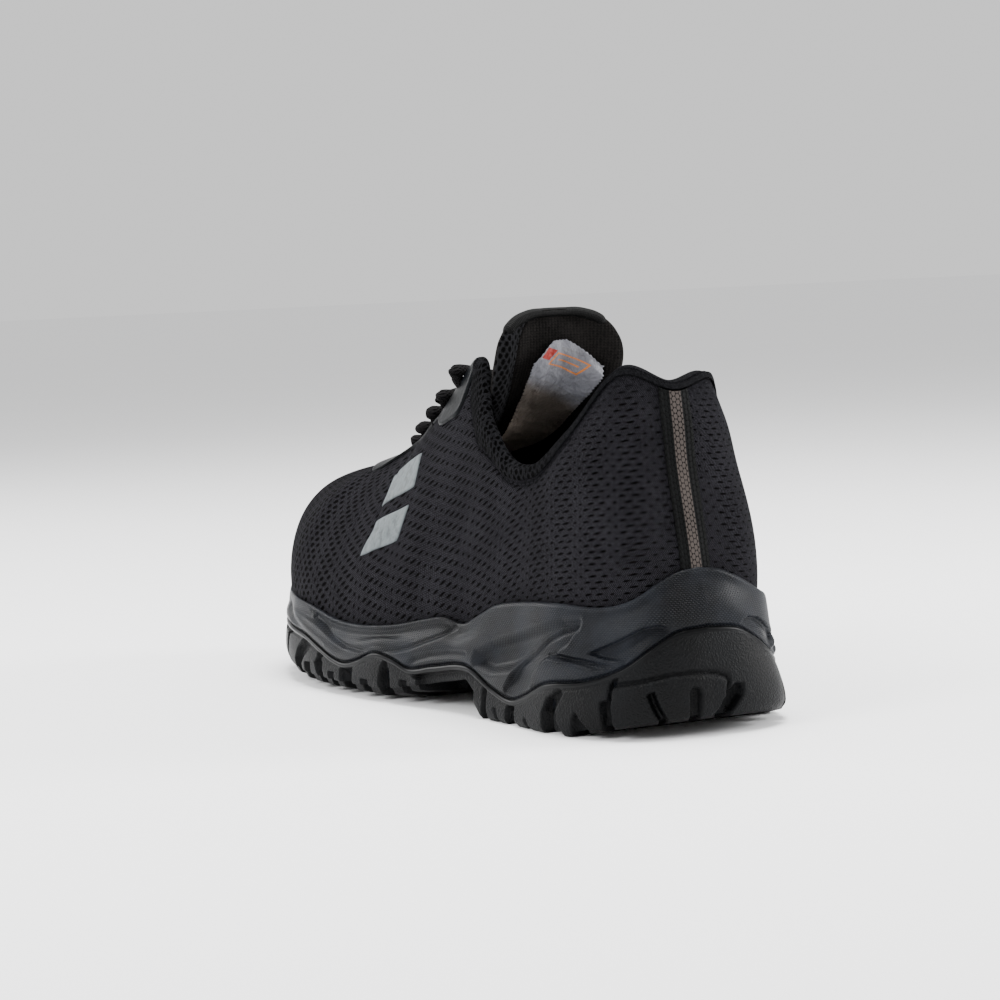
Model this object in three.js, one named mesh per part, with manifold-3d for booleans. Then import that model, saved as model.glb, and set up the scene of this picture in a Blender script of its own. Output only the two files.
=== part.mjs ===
import * as THREE from 'three';
import { mergeVertices } from 'three/addons/utils/BufferGeometryUtils.js';
import Module from 'manifold-3d';

const wasm = await Module();
wasm.setup();

// Left safety sneaker, size 42, in millimetres.
// x runs from the outer side (negative) to the inner side, y from the heel to the toe, z up from the floor.
// In the tables y is counted from the rearmost point of the sole, and the whole shoe is moved at the end
// so that the middle of the heel tread is the origin.

// Sizes of the last and the upper
const LAST_LENGTH = 276;
const HEEL_OVERHANG = 8;
const BALL_HALF_WIDTH = 51;
const HEEL_HALF_WIDTH = 33;
const COLLAR_HEIGHT = 112;
const INSTEP_HEIGHT = 121;
const TOE_HEIGHT = 79;
const FEATHER_HEIGHT = 30;
const WALL = 2.4;
const COLLAR_PAD = 6.4;
const GAP = 0.3;
const FULL_LEAN = 12;

// Sizes of the sole
const MIDSOLE_CREST = 53.5;
const MIDSOLE_RIM = 2.2;
const OUTSOLE_CREST = 34.8;
const OUTSOLE_WALL = 3.4;
const OUTSOLE_FLARE = 8;
const OUTSOLE_FLOOR = 5;
const EDGE_ROUND = 2.6;
const LIP_ROUND = 1.2;
const WALL_LEAN = 0.4;
const ARCH_LIFT = 10.5;
const TOE_SPRING = 16;
const TREAD_DEPTH = 3.4;
const TREAD_REACH = 20;
const LUG_STEP = 2.6;
const HEEL_TREAD_Y = 45;
const SIDE_BELLY = 0.36;
const INSOLE_THICKNESS = 4;

// Sizes of the tongue, the overlays and the lace
const TONGUE_HALF_WIDTH = 24;
const TONGUE_THICKNESS = 8;
const TONGUE_TOP = 138;
const LABEL_WIDTH = 25;
const LABEL_THICKNESS = 0.6;
const STAY_THICKNESS = 0.9;
const STRIP_WIDTH = 9;
const STRIP_THICKNESS = 1;
const LACE_WIDTH = 4;
const LACE_THICKNESS = 3.4;

const WIDTHS = { heel: HEEL_HALF_WIDTH, ball: BALL_HALF_WIDTH };
const HEIGHTS = { collar: COLLAR_HEIGHT, instep: INSTEP_HEIGHT, toe: TOE_HEIGHT };

// Ribs of the upper round the shoe, from the heel over the outer side to the toe and back.
// foot: feather line, x in shares of the width named by wide, y of LAST_LENGTH, z of FEATHER_HEIGHT.
// top: collar and throat line, x as above, y of LAST_LENGTH, z of the height named by of.
// out, over: how far the rib bulges low and high, in shares of BALL_HALF_WIDTH.
// up, drop: lengths of the same two handles, in shares of the rib's rise.
const RIBS = [
  { at: 'heel back', wide: 'heel', of: 'collar', foot: [0, 0, 1], top: [0, 0.033, 1],
    out: 0.1, up: 0.32, over: -0.04, drop: 0.3 },
  { at: 'heel corner outer', wide: 'heel', of: 'collar', foot: [-0.61, 0.022, 1], top: [-0.48, 0.06, 1.05],
    out: 0.08, up: 0.31, over: -0.02, drop: 0.31 },
  { at: 'heel side outer', wide: 'heel', of: 'collar', foot: [-0.94, 0.1, 0.97], top: [-0.76, 0.127, 0.893],
    out: 0.08, up: 0.35, over: 0.04, drop: 0.37 },
  { at: 'ankle outer', wide: 'heel', of: 'collar', foot: [-1, 0.21, 0.93], top: [-0.88, 0.213, 0.79],
    out: 0.08, up: 0.35, over: 0.04, drop: 0.35 },
  { at: 'waist outer', wide: 'heel', of: 'instep', foot: [-1.09, 0.326, 0.87], top: [-0.89, 0.308, 0.84],
    out: 0.08, up: 0.3, over: 0.08, drop: 0.3 },
  { at: 'instep outer', wide: 'ball', of: 'instep', foot: [-0.82, 0.435, 0.77], top: [-0.43, 0.38, 1],
    out: 0.08, up: 0.28, over: 0.2, drop: 0.28 },
  { at: 'throat outer', wide: 'ball', of: 'instep', foot: [-0.94, 0.543, 0.67], top: [-0.39, 0.49, 0.865],
    out: 0.08, up: 0.36, over: 0.31, drop: 0.2 },
  { at: 'ball outer', wide: 'ball', of: 'instep', foot: [-1, 0.66, 0.6], top: [-0.35, 0.58, 0.76],
    out: 0.09, up: 0.42, over: 0.39, drop: 0.15 },
  { at: 'toe corner outer', wide: 'ball', of: 'toe', foot: [-0.96, 0.79, 0.63], top: [-0.26, 0.66, 1.057],
    out: 0.15, up: 0.56, over: 0.66, drop: 0.04 },
  { at: 'toe side outer', wide: 'ball', of: 'toe', foot: [-0.62, 0.93, 0.73], top: [-0.15, 0.695, 1.02],
    out: 0.18, up: 0.7, over: 1.02, drop: 0.01 },
  { at: 'toe tip', wide: 'ball', of: 'toe', foot: [0.08, 1, 0.8], top: [0, 0.71, 1],
    out: 0.15, up: 0.74, over: 1.24, drop: 0 },
  { at: 'toe side inner', wide: 'ball', of: 'toe', foot: [0.68, 0.943, 0.73], top: [0.15, 0.695, 1.02],
    out: 0.16, up: 0.7, over: 1, drop: 0.01 },
  { at: 'toe corner inner', wide: 'ball', of: 'toe', foot: [0.93, 0.83, 0.63], top: [0.26, 0.66, 1.057],
    out: 0.12, up: 0.54, over: 0.6, drop: 0.06 },
  { at: 'ball inner', wide: 'ball', of: 'instep', foot: [0.96, 0.703, 0.6], top: [0.35, 0.58, 0.76],
    out: 0.09, up: 0.42, over: 0.39, drop: 0.15 },
  { at: 'throat inner', wide: 'ball', of: 'instep', foot: [0.84, 0.58, 0.67], top: [0.39, 0.49, 0.865],
    out: 0.08, up: 0.36, over: 0.31, drop: 0.2 },
  { at: 'instep inner', wide: 'ball', of: 'instep', foot: [0.7, 0.457, 0.8], top: [0.43, 0.38, 1],
    out: 0.08, up: 0.28, over: 0.2, drop: 0.28 },
  { at: 'waist inner', wide: 'heel', of: 'instep', foot: [0.97, 0.326, 0.9], top: [0.89, 0.308, 0.84],
    out: 0.08, up: 0.3, over: 0.08, drop: 0.3 },
  { at: 'ankle inner', wide: 'heel', of: 'collar', foot: [0.98, 0.21, 0.93], top: [0.88, 0.21, 0.8],
    out: 0.09, up: 0.35, over: 0.04, drop: 0.35 },
  { at: 'heel side inner', wide: 'heel', of: 'collar', foot: [0.97, 0.1, 0.97], top: [0.845, 0.127, 0.9],
    out: 0.17, up: 0.4, over: 0.1, drop: 0.35 },
  { at: 'heel corner inner', wide: 'heel', of: 'collar', foot: [0.68, 0.022, 1], top: [0.53, 0.06, 1.025],
    out: 0.16, up: 0.36, over: 0.08, drop: 0.31 },
];
const TURN = RIBS.length;

// Heights round the sole's side: rib counts from the heel back to either side,
// and high is a share of the crest.
const MIDSOLE_WAVE = [
  { rib: 0, high: 1 }, { rib: 0.3, high: 0.98 }, { rib: 0.55, high: 0.93 }, { rib: 1, high: 0.82 },
  { rib: 1.45, high: 0.78 }, { rib: 2.1, high: 0.79 }, { rib: 2.8, high: 0.77 },
  { rib: 3.4, high: 0.725 }, { rib: 3.8, high: 0.64 }, { rib: 4.14, high: 0.572 },
  { rib: 4.5, high: 0.6 }, { rib: 4.9, high: 0.57 }, { rib: 5.4, high: 0.52 },
  { rib: 5.9, high: 0.49 }, { rib: 6.4, high: 0.48 }, { rib: 6.9, high: 0.5 },
  { rib: 7.5, high: 0.56 }, { rib: 8.3, high: 0.6 }, { rib: 10, high: 0.65 },
];
const OUTSOLE_WAVE = [
  { rib: 0, high: 1 }, { rib: 0.42, high: 0.965 }, { rib: 0.7, high: 0.85 },
  { rib: 1.1, high: 0.65 }, { rib: 1.6, high: 0.525 }, { rib: 2.2, high: 0.465 },
  { rib: 2.7, high: 0.3 }, { rib: 3, high: 0.24 }, { rib: 3.4, high: 0.32 },
  { rib: 3.9, high: 0.486 }, { rib: 4.6, high: 0.43 }, { rib: 5.05, high: 0.375 },
  { rib: 5.4, high: 0.454 }, { rib: 5.75, high: 0.49 }, { rib: 6.1, high: 0.39 },
  { rib: 6.4, high: 0.336 }, { rib: 6.65, high: 0.36 }, { rib: 7, high: 0.443 },
  { rib: 7.5, high: 0.555 }, { rib: 8.5, high: 0.6 }, { rib: 10, high: 0.66 },
];

// Side of the sole: outer and inner are how far either side stands out, in shares of OUTSOLE_FLARE,
// round how far the lower corner is rounded, of EDGE_ROUND, crown how far the floor falls in to
// CROWN_REACH, of TREAD_DEPTH, and rim how thick the midsole's lip is, of MIDSOLE_RIM.
const SIDE = [
  { rib: 0, outer: 1, inner: 1.05, round: 0.5, crown: 0, rim: 1 },
  { rib: 1, outer: 1, inner: 1.25, round: 0.4, crown: 0, rim: 1 },
  { rib: 2, outer: 1, inner: 1.2, round: 0.4, crown: 0, rim: 1 },
  { rib: 3.6, outer: 1, inner: 1, round: 0.3, crown: 0, rim: 1 },
  { rib: 4.4, outer: 0.95, inner: 0.95, round: 0.6, crown: 0, rim: 1 },
  { rib: 5.4, outer: 0.95, inner: 0.95, round: 1, crown: 0.7, rim: 1 },
  { rib: 7, outer: 0.9, inner: 0.9, round: 1.1, crown: 0.8, rim: 0.8 },
  { rib: 8, outer: 0.72, inner: 0.8, round: 1.1, crown: 0.5, rim: 0.4 },
  { rib: 10, outer: 0.7, inner: 0.7, round: 1.1, crown: 0.2, rim: 0.4 },
];
const CROWN_REACH = 24;

// Underside seen from the side: y in shares of LAST_LENGTH, lift in shares of the size named by of.
const UNDERSIDE = [
  { y: -0.03, lift: 0.56, of: 'arch' }, { y: 0, lift: 0.43, of: 'arch' },
  { y: 0.03, lift: 0.28, of: 'arch' }, { y: 0.08, lift: 0, of: 'arch' },
  { y: 0.277, lift: 0, of: 'arch' }, { y: 0.3, lift: 0.6, of: 'arch' },
  { y: 0.32, lift: 1.05, of: 'arch' }, { y: 0.37, lift: 0.8, of: 'arch' },
  { y: 0.42, lift: 0.45, of: 'arch' }, { y: 0.47, lift: 0.1, of: 'arch' },
  { y: 0.5, lift: 0, of: 'arch' }, { y: 0.7, lift: 0, of: 'toe' },
  { y: 0.79, lift: 0.15, of: 'toe' }, { y: 0.88, lift: 0.36, of: 'toe' },
  { y: 0.97, lift: 0.68, of: 'toe' }, { y: 1.04, lift: 1, of: 'toe' },
];
const LIFTS = { arch: ARCH_LIFT, toe: TOE_SPRING };

// Grooves between the side lugs: rib to either side, wide in shares of TREAD_REACH, high of the lug's side.
const GROOVES = [
  { rib: 0.12, wide: 0.15, high: 0.5 }, { rib: 0.75, wide: 0.2, high: 0.45 },
  { rib: 1.28, wide: 0.12, high: 0.8 }, { rib: 2.3, wide: 0.2, high: 0.8 },
  { rib: 3.1, wide: 0.25, high: 0.75 }, { rib: 3.5, wide: 0.12, high: 0.75 },
  { rib: 5.62, wide: 0.18, high: 0.8 }, { rib: 6.42, wide: 0.3, high: 0.75 },
  { rib: 7.05, wide: 0.25, high: 0.75 }, { rib: 7.8, wide: 0.22, high: 0.7 },
  { rib: 8.5, wide: 0.22, high: 0.6 }, { rib: 9.3, wide: 0.22, high: 0.55 },
];

// Channels in the flat of the tread: x in shares of BALL_HALF_WIDTH, y and long of LAST_LENGTH,
// wide of TREAD_REACH, turn in radians.
const CHANNELS = [
  { x: -0.3, y: 0.15, long: 0.18, wide: 0.25, turn: 0 },
  { x: 0.3, y: 0.15, long: 0.18, wide: 0.25, turn: 0 },
  { x: -0.45, y: 0.6, long: 0.2, wide: 0.25, turn: 0.12 },
  { x: 0.45, y: 0.6, long: 0.2, wide: 0.25, turn: -0.12 },
  { x: -0.05, y: 0.53, long: 0.12, wide: 0.2, turn: 1.35 },
  { x: -0.05, y: 0.67, long: 0.12, wide: 0.2, turn: 1.35 },
];

// Middle line of the tongue from under the vamp to its free top.
// y in shares of LAST_LENGTH, z of TONGUE_TOP, half of TONGUE_HALF_WIDTH, thick of TONGUE_THICKNESS,
// bend is how far the side edges fall towards the foot and side the shift to the inner side,
// both in shares of TONGUE_HALF_WIDTH.
const TONGUE = [
  { y: 0.718, z: 0.518, half: 0.66, thick: 0.38, bend: 0.12, side: 0 },
  { y: 0.652, z: 0.552, half: 0.78, thick: 0.56, bend: 0.16, side: 0 },
  { y: 0.568, z: 0.605, half: 0.86, thick: 0.8, bend: 0.2, side: 0 },
  { y: 0.485, z: 0.663, half: 0.86, thick: 0.94, bend: 0.22, side: 0 },
  { y: 0.415, z: 0.714, half: 0.82, thick: 1, bend: 0.22, side: 0 },
  { y: 0.366, z: 0.786, half: 0.8, thick: 1, bend: 0.2, side: 0 },
  { y: 0.336, z: 0.866, half: 1.04, thick: 0.95, bend: 0.18, side: 0 },
  { y: 0.326, z: 0.928, half: 0.94, thick: 0.85, bend: 0.14, side: -0.02 },
  { y: 0.322, z: 0.972, half: 0.68, thick: 0.7, bend: 0.08, side: -0.04 },
  { y: 0.32, z: 0.99, half: 0.36, thick: 0.4, bend: 0.02, side: -0.05 },
];

// Eyestay film: station along the throat and how far it reaches down the rib, for either side.
const EYESTAY = [
  { rib: 5.02, low: 0.81 }, { rib: 5.35, low: 0.8 }, { rib: 5.7, low: 0.82 },
  { rib: 5.95, low: 0.9 }, { rib: 6.3, low: 0.925 }, { rib: 7.2, low: 0.92 },
  { rib: 8.2, low: 0.9 }, { rib: 9.1, low: 0.9 },
];
const EYESTAY_HIGH = 0.965;
const STRIP_HIGH = 0.945;

// Rows of lace holes down the throat: station and height on the rib.
const LACE_ROWS = [
  { rib: 5.55, v: 0.935 }, { rib: 6, v: 0.94 }, { rib: 6.45, v: 0.945 }, { rib: 6.95, v: 0.95 },
  { rib: 7.5, v: 0.955 },
];

const rubber = (color) => new THREE.MeshStandardMaterial({ color, roughness: 0.72, metalness: 0 });
const cloth = (color) => new THREE.MeshStandardMaterial({ color, roughness: 0.95, metalness: 0 });
const film = (color) => new THREE.MeshStandardMaterial({ color, roughness: 0.45, metalness: 0 });

// Numbers and curves

const clamp01 = (t) => Math.min(1, Math.max(0, t));
const smooth = (a, b, t) => {
  const k = clamp01((t - a) / (b - a));
  return k * k * (3 - 2 * k);
};

function spline(a, b, c, d, t) {
  const square = 2 * a - 5 * b + 4 * c - d;
  const cube = 3 * b - a - 3 * c + d;
  return 0.5 * (2 * b + (c - a) * t + square * t * t + cube * t * t * t);
}

// Value of a table at a key, with a smooth step from row to row
function tableAt(rows, key, name, at) {
  const last = rows.length - 1;
  if (at <= rows[0][key]) return rows[0][name];
  if (at >= rows[last][key]) return rows[last][name];
  const i = rows.findIndex((row) => row[key] > at) - 1;
  const [a, b] = [rows[i], rows[i + 1]];
  const step = (at - a[key]) / (b[key] - a[key]);
  const before = rows[Math.max(0, i - 1)];
  const after = rows[Math.min(last, i + 2)];
  const slopeA = (b[name] - before[name]) / (b[key] - before[key]) * (b[key] - a[key]);
  const slopeB = (after[name] - a[name]) / (after[key] - a[key]) * (b[key] - a[key]);
  const s2 = step * step;
  const s3 = s2 * step;
  return (2 * s3 - 3 * s2 + 1) * a[name] + (s3 - 2 * s2 + step) * slopeA
    + (3 * s2 - 2 * s3) * b[name] + (s3 - s2) * slopeB;
}

// The last's surface

const STATIONS = RIBS.map((rib) => {
  const topHeight = HEIGHTS[rib.of] * rib.top[2];
  const footHeight = FEATHER_HEIGHT * rib.foot[2];
  return [
    rib.foot[0] * WIDTHS[rib.wide], HEEL_OVERHANG + rib.foot[1] * LAST_LENGTH, footHeight,
    rib.top[0] * WIDTHS[rib.wide], HEEL_OVERHANG + rib.top[1] * LAST_LENGTH, topHeight,
    rib.out * BALL_HALF_WIDTH, rib.up * (topHeight - footHeight),
    rib.over * BALL_HALF_WIDTH, rib.drop * (topHeight - footHeight),
  ];
});

// All columns of the rib table between its rows, closed round the shoe
function stationAt(u) {
  const turn = ((u % TURN) + TURN) % TURN;
  const i = Math.floor(turn);
  const row = (k) => STATIONS[(i + k + TURN) % TURN];
  const [a, b, c, d] = [row(-1), row(0), row(1), row(2)];
  return b.map((_, k) => spline(a[k], b[k], c[k], d[k], turn - i));
}

// Outward direction of the feather line in plan
function outward(u) {
  const a = stationAt(u - 0.01);
  const b = stationAt(u + 0.01);
  return new THREE.Vector3(a[1] - b[1], b[0] - a[0], 0).normalize();
}

// Outer surface of the upper: rib u, height v from the feather line (0) to the collar or throat line (1)
function ribPoint(u, v) {
  const s = stationAt(u);
  const foot = new THREE.Vector3(s[0], s[1], s[2]);
  const top = new THREE.Vector3(s[3], s[4], s[5]);
  const n = outward(u);
  const lean = new THREE.Vector3(foot.x - top.x, foot.y - top.y, 0);
  const blend = clamp01(lean.length() / FULL_LEAN);
  lean.setLength(blend).addScaledVector(n, 1 - blend).normalize();
  const low = foot.clone().addScaledVector(n, s[6]).setZ(foot.z + s[7]);
  const high = top.clone().addScaledVector(lean, s[8]).setZ(top.z - s[9]);
  return new THREE.CubicBezierCurve3(foot, low, high, top).getPoint(v);
}

// Unit normal of the outer surface
function ribNormal(u, v) {
  const e = 0.01;
  const alongU = ribPoint(u + e, v).sub(ribPoint(u - e, v));
  const alongV = ribPoint(u, Math.min(1, v + e)).sub(ribPoint(u, Math.max(0, v - e)));
  return alongV.cross(alongU).normalize();
}

const skin = (u, v, lift) => ribPoint(u, v).addScaledVector(ribNormal(u, v), lift);

// Rib number counted from the heel back to either side
const fromHeel = (u) => Math.min(((u % TURN) + TURN) % TURN, TURN - (((u % TURN) + TURN) % TURN));

// Wall of the upper: thin cloth, padded round the collar
function wallAt(u, v) {
  const round = 1 - smooth(3.9, 5.3, fromHeel(u));
  return WALL + (COLLAR_PAD - WALL) * round * smooth(0.55, 0.85, v);
}

// Closed meshes

// Geometry from points and triangles, turned to face outwards
function solidFrom(points, faces) {
  let volume = 0;
  for (const [a, b, c] of faces) volume += points[a].dot(points[b].clone().cross(points[c]));
  const out = volume < 0 ? faces.map(([a, b, c]) => [a, c, b]) : faces;
  const geometry = new THREE.BufferGeometry();
  const numbers = points.flatMap((p) => p.toArray());
  geometry.setAttribute('position', new THREE.Float32BufferAttribute(numbers, 3));
  geometry.setIndex(out.flat());
  geometry.computeVertexNormals();
  return geometry;
}

// Skin through closed rings of equal count: joined end to end, or closed by caps sewn across each end ring
function loft(rings, capped) {
  const count = rings[0].length;
  const faces = [];
  const last = capped ? rings.length - 1 : rings.length;
  for (let r = 0; r < last; r += 1) {
    const next = (r + 1) % rings.length;
    for (let k = 0; k < count; k += 1) {
      const [a, b] = [r * count + k, r * count + (k + 1) % count];
      const [c, d] = [next * count + k, next * count + (k + 1) % count];
      faces.push([a, b, d], [a, d, c]);
    }
  }
  if (capped) {
    for (const [base, flip] of [[0, true], [(rings.length - 1) * count, false]]) {
      for (let k = 0; k < count / 2; k += 1) {
        const [a, b] = [k, k + 1];
        const [c, d] = [(count - k) % count, count - k - 1];
        const pair = [[a, b, d], [a, d, c]].filter((f) => new Set(f).size === 3);
        for (const f of pair) {
          const face = f.map((i) => base + i);
          faces.push(flip ? [face[0], face[2], face[1]] : face);
        }
      }
    }
  }
  return solidFrom(rings.flat(), faces);
}

// Slab between two surfaces over the same patch; each is a function of two shares from 0 to 1
function slab(countA, countB, outer, inner) {
  const points = [];
  for (const surface of [outer, inner]) {
    for (let i = 0; i <= countA; i += 1) {
      for (let j = 0; j <= countB; j += 1) points.push(surface(i / countA, j / countB));
    }
  }
  const half = points.length / 2;
  const at = (i, j) => i * (countB + 1) + j;
  const faces = [];
  for (let i = 0; i < countA; i += 1) {
    for (let j = 0; j < countB; j += 1) {
      const [a, b, c, d] = [at(i, j), at(i + 1, j), at(i + 1, j + 1), at(i, j + 1)];
      faces.push([a, b, c], [a, c, d], [half + a, half + c, half + b], [half + a, half + d, half + c]);
    }
  }
  const rim = [];
  for (let i = 0; i < countA; i += 1) rim.push([at(i, 0), at(i + 1, 0)]);
  for (let j = 0; j < countB; j += 1) rim.push([at(countA, j), at(countA, j + 1)]);
  for (let i = countA; i > 0; i -= 1) rim.push([at(i, countB), at(i - 1, countB)]);
  for (let j = countB; j > 0; j -= 1) rim.push([at(0, j), at(0, j - 1)]);
  for (const [a, b] of rim) faces.push([b, a, half + a], [b, half + a, half + b]);
  return solidFrom(points, faces);
}

// Solid and mesh forms of a closed body
function toManifold(geometry) {
  const bare = geometry.clone();
  bare.deleteAttribute('normal');
  bare.deleteAttribute('uv');
  const merged = mergeVertices(bare, 1e-4);
  return new wasm.Manifold(new wasm.Mesh({
    numProp: 3,
    vertProperties: new Float32Array(merged.attributes.position.array),
    triVerts: new Uint32Array(merged.index.array),
  }));
}

function fromManifold(solid) {
  const mesh = solid.getMesh();
  const geometry = new THREE.BufferGeometry();
  geometry.setAttribute('position', new THREE.BufferAttribute(new Float32Array(mesh.vertProperties), 3));
  geometry.setIndex(new THREE.BufferAttribute(new Uint32Array(mesh.triVerts), 1));
  geometry.computeVertexNormals();
  return geometry;
}

const ringOf = (count, place) => Array.from({ length: count }, (_, k) => place(TURN * k / count));

// Upper: cloth shell with a rolled collar, open at the collar, the throat and underneath

const UPPER_COUNT = 64;
const OUTER_LEVELS = [0, 0.1, 0.22, 0.35, 0.48, 0.6, 0.71, 0.81, 0.9];
const ROLL_TURNS = [0, 0.25, 0.5, 0.75, 1];
const INNER_LEVELS = [0.86, 0.7, 0.52, 0.35, 0.18, 0];

function makeUpper() {
  const rings = OUTER_LEVELS.map((v) => ringOf(UPPER_COUNT, (u) => skin(u, v, 0)));
  for (const turn of ROLL_TURNS) {
    rings.push(ringOf(UPPER_COUNT, (u) => {
      const half = wallAt(u, 1) / 2;
      const normal = ribNormal(u, 1);
      const along = ribPoint(u, 1).sub(ribPoint(u, 0.98)).normalize();
      const centre = ribPoint(u, 1).addScaledVector(normal, -half).addScaledVector(along, -half);
      return centre.addScaledVector(normal, half * Math.cos(Math.PI * turn))
        .addScaledVector(along, half * Math.sin(Math.PI * turn));
    }));
  }
  for (const v of INNER_LEVELS) {
    rings.push(ringOf(UPPER_COUNT, (u) => skin(u, v, -wallAt(u, v))));
  }
  return loft(rings, false);
}

// Sole heights and edges

const waveAt = (wave, crest, u) => crest * tableAt(wave, 'rib', 'high', fromHeel(u));
const midsoleTop = (u) => waveAt(MIDSOLE_WAVE, MIDSOLE_CREST, u);
const outsoleTop = (u) => waveAt(OUTSOLE_WAVE, OUTSOLE_CREST, u);
const lipAt = (u) => Math.min(flareAt(u), OUTSOLE_FLARE);
const isInner = (u) => ((u % TURN) + TURN) % TURN > TURN / 2;
const sideAt = (u, column) => tableAt(SIDE, 'rib', column, fromHeel(u));
const flareAt = (u) => OUTSOLE_FLARE * sideAt(u, isInner(u) ? 'inner' : 'outer');
const roundAt = (u) => EDGE_ROUND * sideAt(u, 'round');
const rimAt = (u) => MIDSOLE_RIM * sideAt(u, 'rim');
const floorAt = (u) => undersideAt(beside(u, flareAt(u) - CROWN_REACH).y) + OUTSOLE_FLOOR;

// Height of the tread at an inset from the outsole's side
function treadAt(u, inset) {
  const fall = clamp01(1 - inset / CROWN_REACH);
  return undersideAt(beside(u, flareAt(u) - inset).y) + TREAD_DEPTH * sideAt(u, 'crown') * fall * fall;
}

const UNDERSIDE_LIFTS = UNDERSIDE.map((row) => ({
  y: HEEL_OVERHANG + row.y * LAST_LENGTH,
  lift: row.lift * LIFTS[row.of],
}));

// Height of the underside; the flat stretches of heel and ball stay flat
function undersideAt(y) {
  const rows = UNDERSIDE_LIFTS;
  if (y <= rows[0].y) return rows[0].lift;
  const i = rows.findIndex((row) => row.y > y);
  if (i < 0) return rows[rows.length - 1].lift;
  const share = (y - rows[i - 1].y) / (rows[i].y - rows[i - 1].y);
  return rows[i - 1].lift + (rows[i].lift - rows[i - 1].lift) * share;
}

// Point beside the feather line in plan
function beside(u, reach) {
  const s = stationAt(u);
  return new THREE.Vector3(s[0], s[1], 0).addScaledVector(outward(u), reach);
}

const SOLE_COUNT = 96;

// Outsole: cup with a flat tread under heel and ball, a raised arch and a waved top edge
function makeOutsole() {
  const foot = (inset, above) => ringOf(SOLE_COUNT, (u) => {
    return beside(u, flareAt(u) - inset(u)).setZ(treadAt(u, inset(u)) + above(u));
  });
  const lip = (inset) => ringOf(SOLE_COUNT, (u) => beside(u, lipAt(u) - inset).setZ(outsoleTop(u)));
  const wallRing = ringOf(SOLE_COUNT, (u) => {
    return beside(u, flareAt(u)).setZ(treadAt(u, 0) + SIDE_BELLY * (outsoleTop(u) - treadAt(u, 0)));
  });
  const rings = [
    foot(() => CROWN_REACH, () => 0),
    foot((u) => 0.6 * EDGE_ROUND + 1.2 * roundAt(u), () => 0),
    foot((u) => 0.35 * roundAt(u) + 0.2, (u) => 0.75 * roundAt(u) + 0.4),
    wallRing,
    lip(LIP_ROUND),
    lip(OUTSOLE_WALL),
    ringOf(SOLE_COUNT, (u) => beside(u, lipAt(u) - OUTSOLE_WALL - WALL_LEAN).setZ(floorAt(u))),
  ];
  return fromManifold(toManifold(loft(rings, true)).subtract(treadCutter()));
}

// Box that cuts inwards across the sole's edge
function edgeCut(u, wide, depth, low, high, reach) {
  const n = outward(u);
  const spare = 6;
  const box = new THREE.BoxGeometry(depth + spare, wide, high - low);
  const centre = beside(u, reach + spare / 2 - depth / 2);
  box.rotateZ(Math.atan2(n.y, n.x));
  box.translate(centre.x, centre.y, (high + low) / 2);
  return toManifold(box);
}

// Grooves of the side lugs and the tread, joined into one cutter
function treadCutter() {
  const below = -2;
  let cutter = null;
  const add = (solid) => { cutter = cutter ? cutter.add(solid) : solid; };
  for (const side of [1, -1]) {
    for (const groove of GROOVES) {
      const u = side * groove.rib;
      const reach = flareAt(u);
      const low = treadAt(u, 0);
      const inside = treadAt(u, TREAD_REACH);
      const wide = groove.wide * TREAD_REACH;
      add(edgeCut(u, wide, LUG_STEP, below, low + groove.high * (outsoleTop(u) - low), reach));
      add(edgeCut(u, wide, TREAD_REACH, below, Math.min(low, inside) + TREAD_DEPTH, reach));
    }
  }
  for (const channel of CHANNELS) {
    const [wide, long] = [channel.wide * TREAD_REACH, channel.long * LAST_LENGTH];
    const box = new THREE.BoxGeometry(wide, long, 2 * TREAD_DEPTH);
    box.rotateZ(channel.turn);
    box.translate(channel.x * BALL_HALF_WIDTH, HEEL_OVERHANG + channel.y * LAST_LENGTH, 0);
    add(toManifold(box));
  }
  return cutter;
}

// Share of the rib at which the upper comes out of the midsole's rim
const rimShare = (u) => {
  const halvings = 24;
  let [a, b] = [0, 0.9];
  for (let k = 0; k < halvings; k += 1) {
    const mid = (a + b) / 2;
    if (ribPoint(u, mid).z < midsoleTop(u)) a = mid; else b = mid;
  }
  return a;
};

// Midsole: foam bowl with a waved rim, seated in the outsole and holding the upper's foot
function makeMidsole() {
  const seat = OUTSOLE_WALL + GAP;
  const edge = (inset, share) => ringOf(SOLE_COUNT, (u) => {
    const low = outsoleTop(u) + GAP;
    return beside(u, lipAt(u) - inset).setZ(low + share * (midsoleTop(u) - low));
  });
  const against = (share, reach, above) => ringOf(SOLE_COUNT, (u) => {
    const p = ribPoint(u, share * rimShare(u)).addScaledVector(outward(u), reach(u));
    return p.setZ(p.z + above);
  });
  return loft([
    ringOf(SOLE_COUNT, (u) => beside(u, lipAt(u) - seat - WALL_LEAN).setZ(floorAt(u) + GAP)),
    edge(seat, 0),
    edge(LIP_ROUND, 0),
    edge(0.7 * LIP_ROUND, 0.22),
    edge(1.6 * LIP_ROUND, 0.5),
    against(1, (u) => rimAt(u) + 0.8, -0.07 * MIDSOLE_CREST),
    against(1, (u) => rimAt(u) + GAP, -1),
    against(1, (u) => 0.6 * rimAt(u) + GAP, 0),
    against(1, () => GAP, -0.2),
    against(0.5, () => GAP, 0),
    against(0, () => GAP, -GAP),
  ], true);
}

// Insole: soft bed inside the foot of the upper
function makeInsole() {
  const count = 48;
  const inside = -(WALL + 2 * GAP);
  const level = (reach, above) => ringOf(count, (u) => beside(u, reach).setZ(stationAt(u)[2] + above));
  return loft([
    level(inside - 1.2, 0),
    level(inside, 0.4 * INSOLE_THICKNESS),
    level(inside, 0.9 * INSOLE_THICKNESS),
    level(inside - 1.5, INSOLE_THICKNESS),
  ], true);
}

// Tongue: padded sheet from under the vamp to its free rounded top

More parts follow.
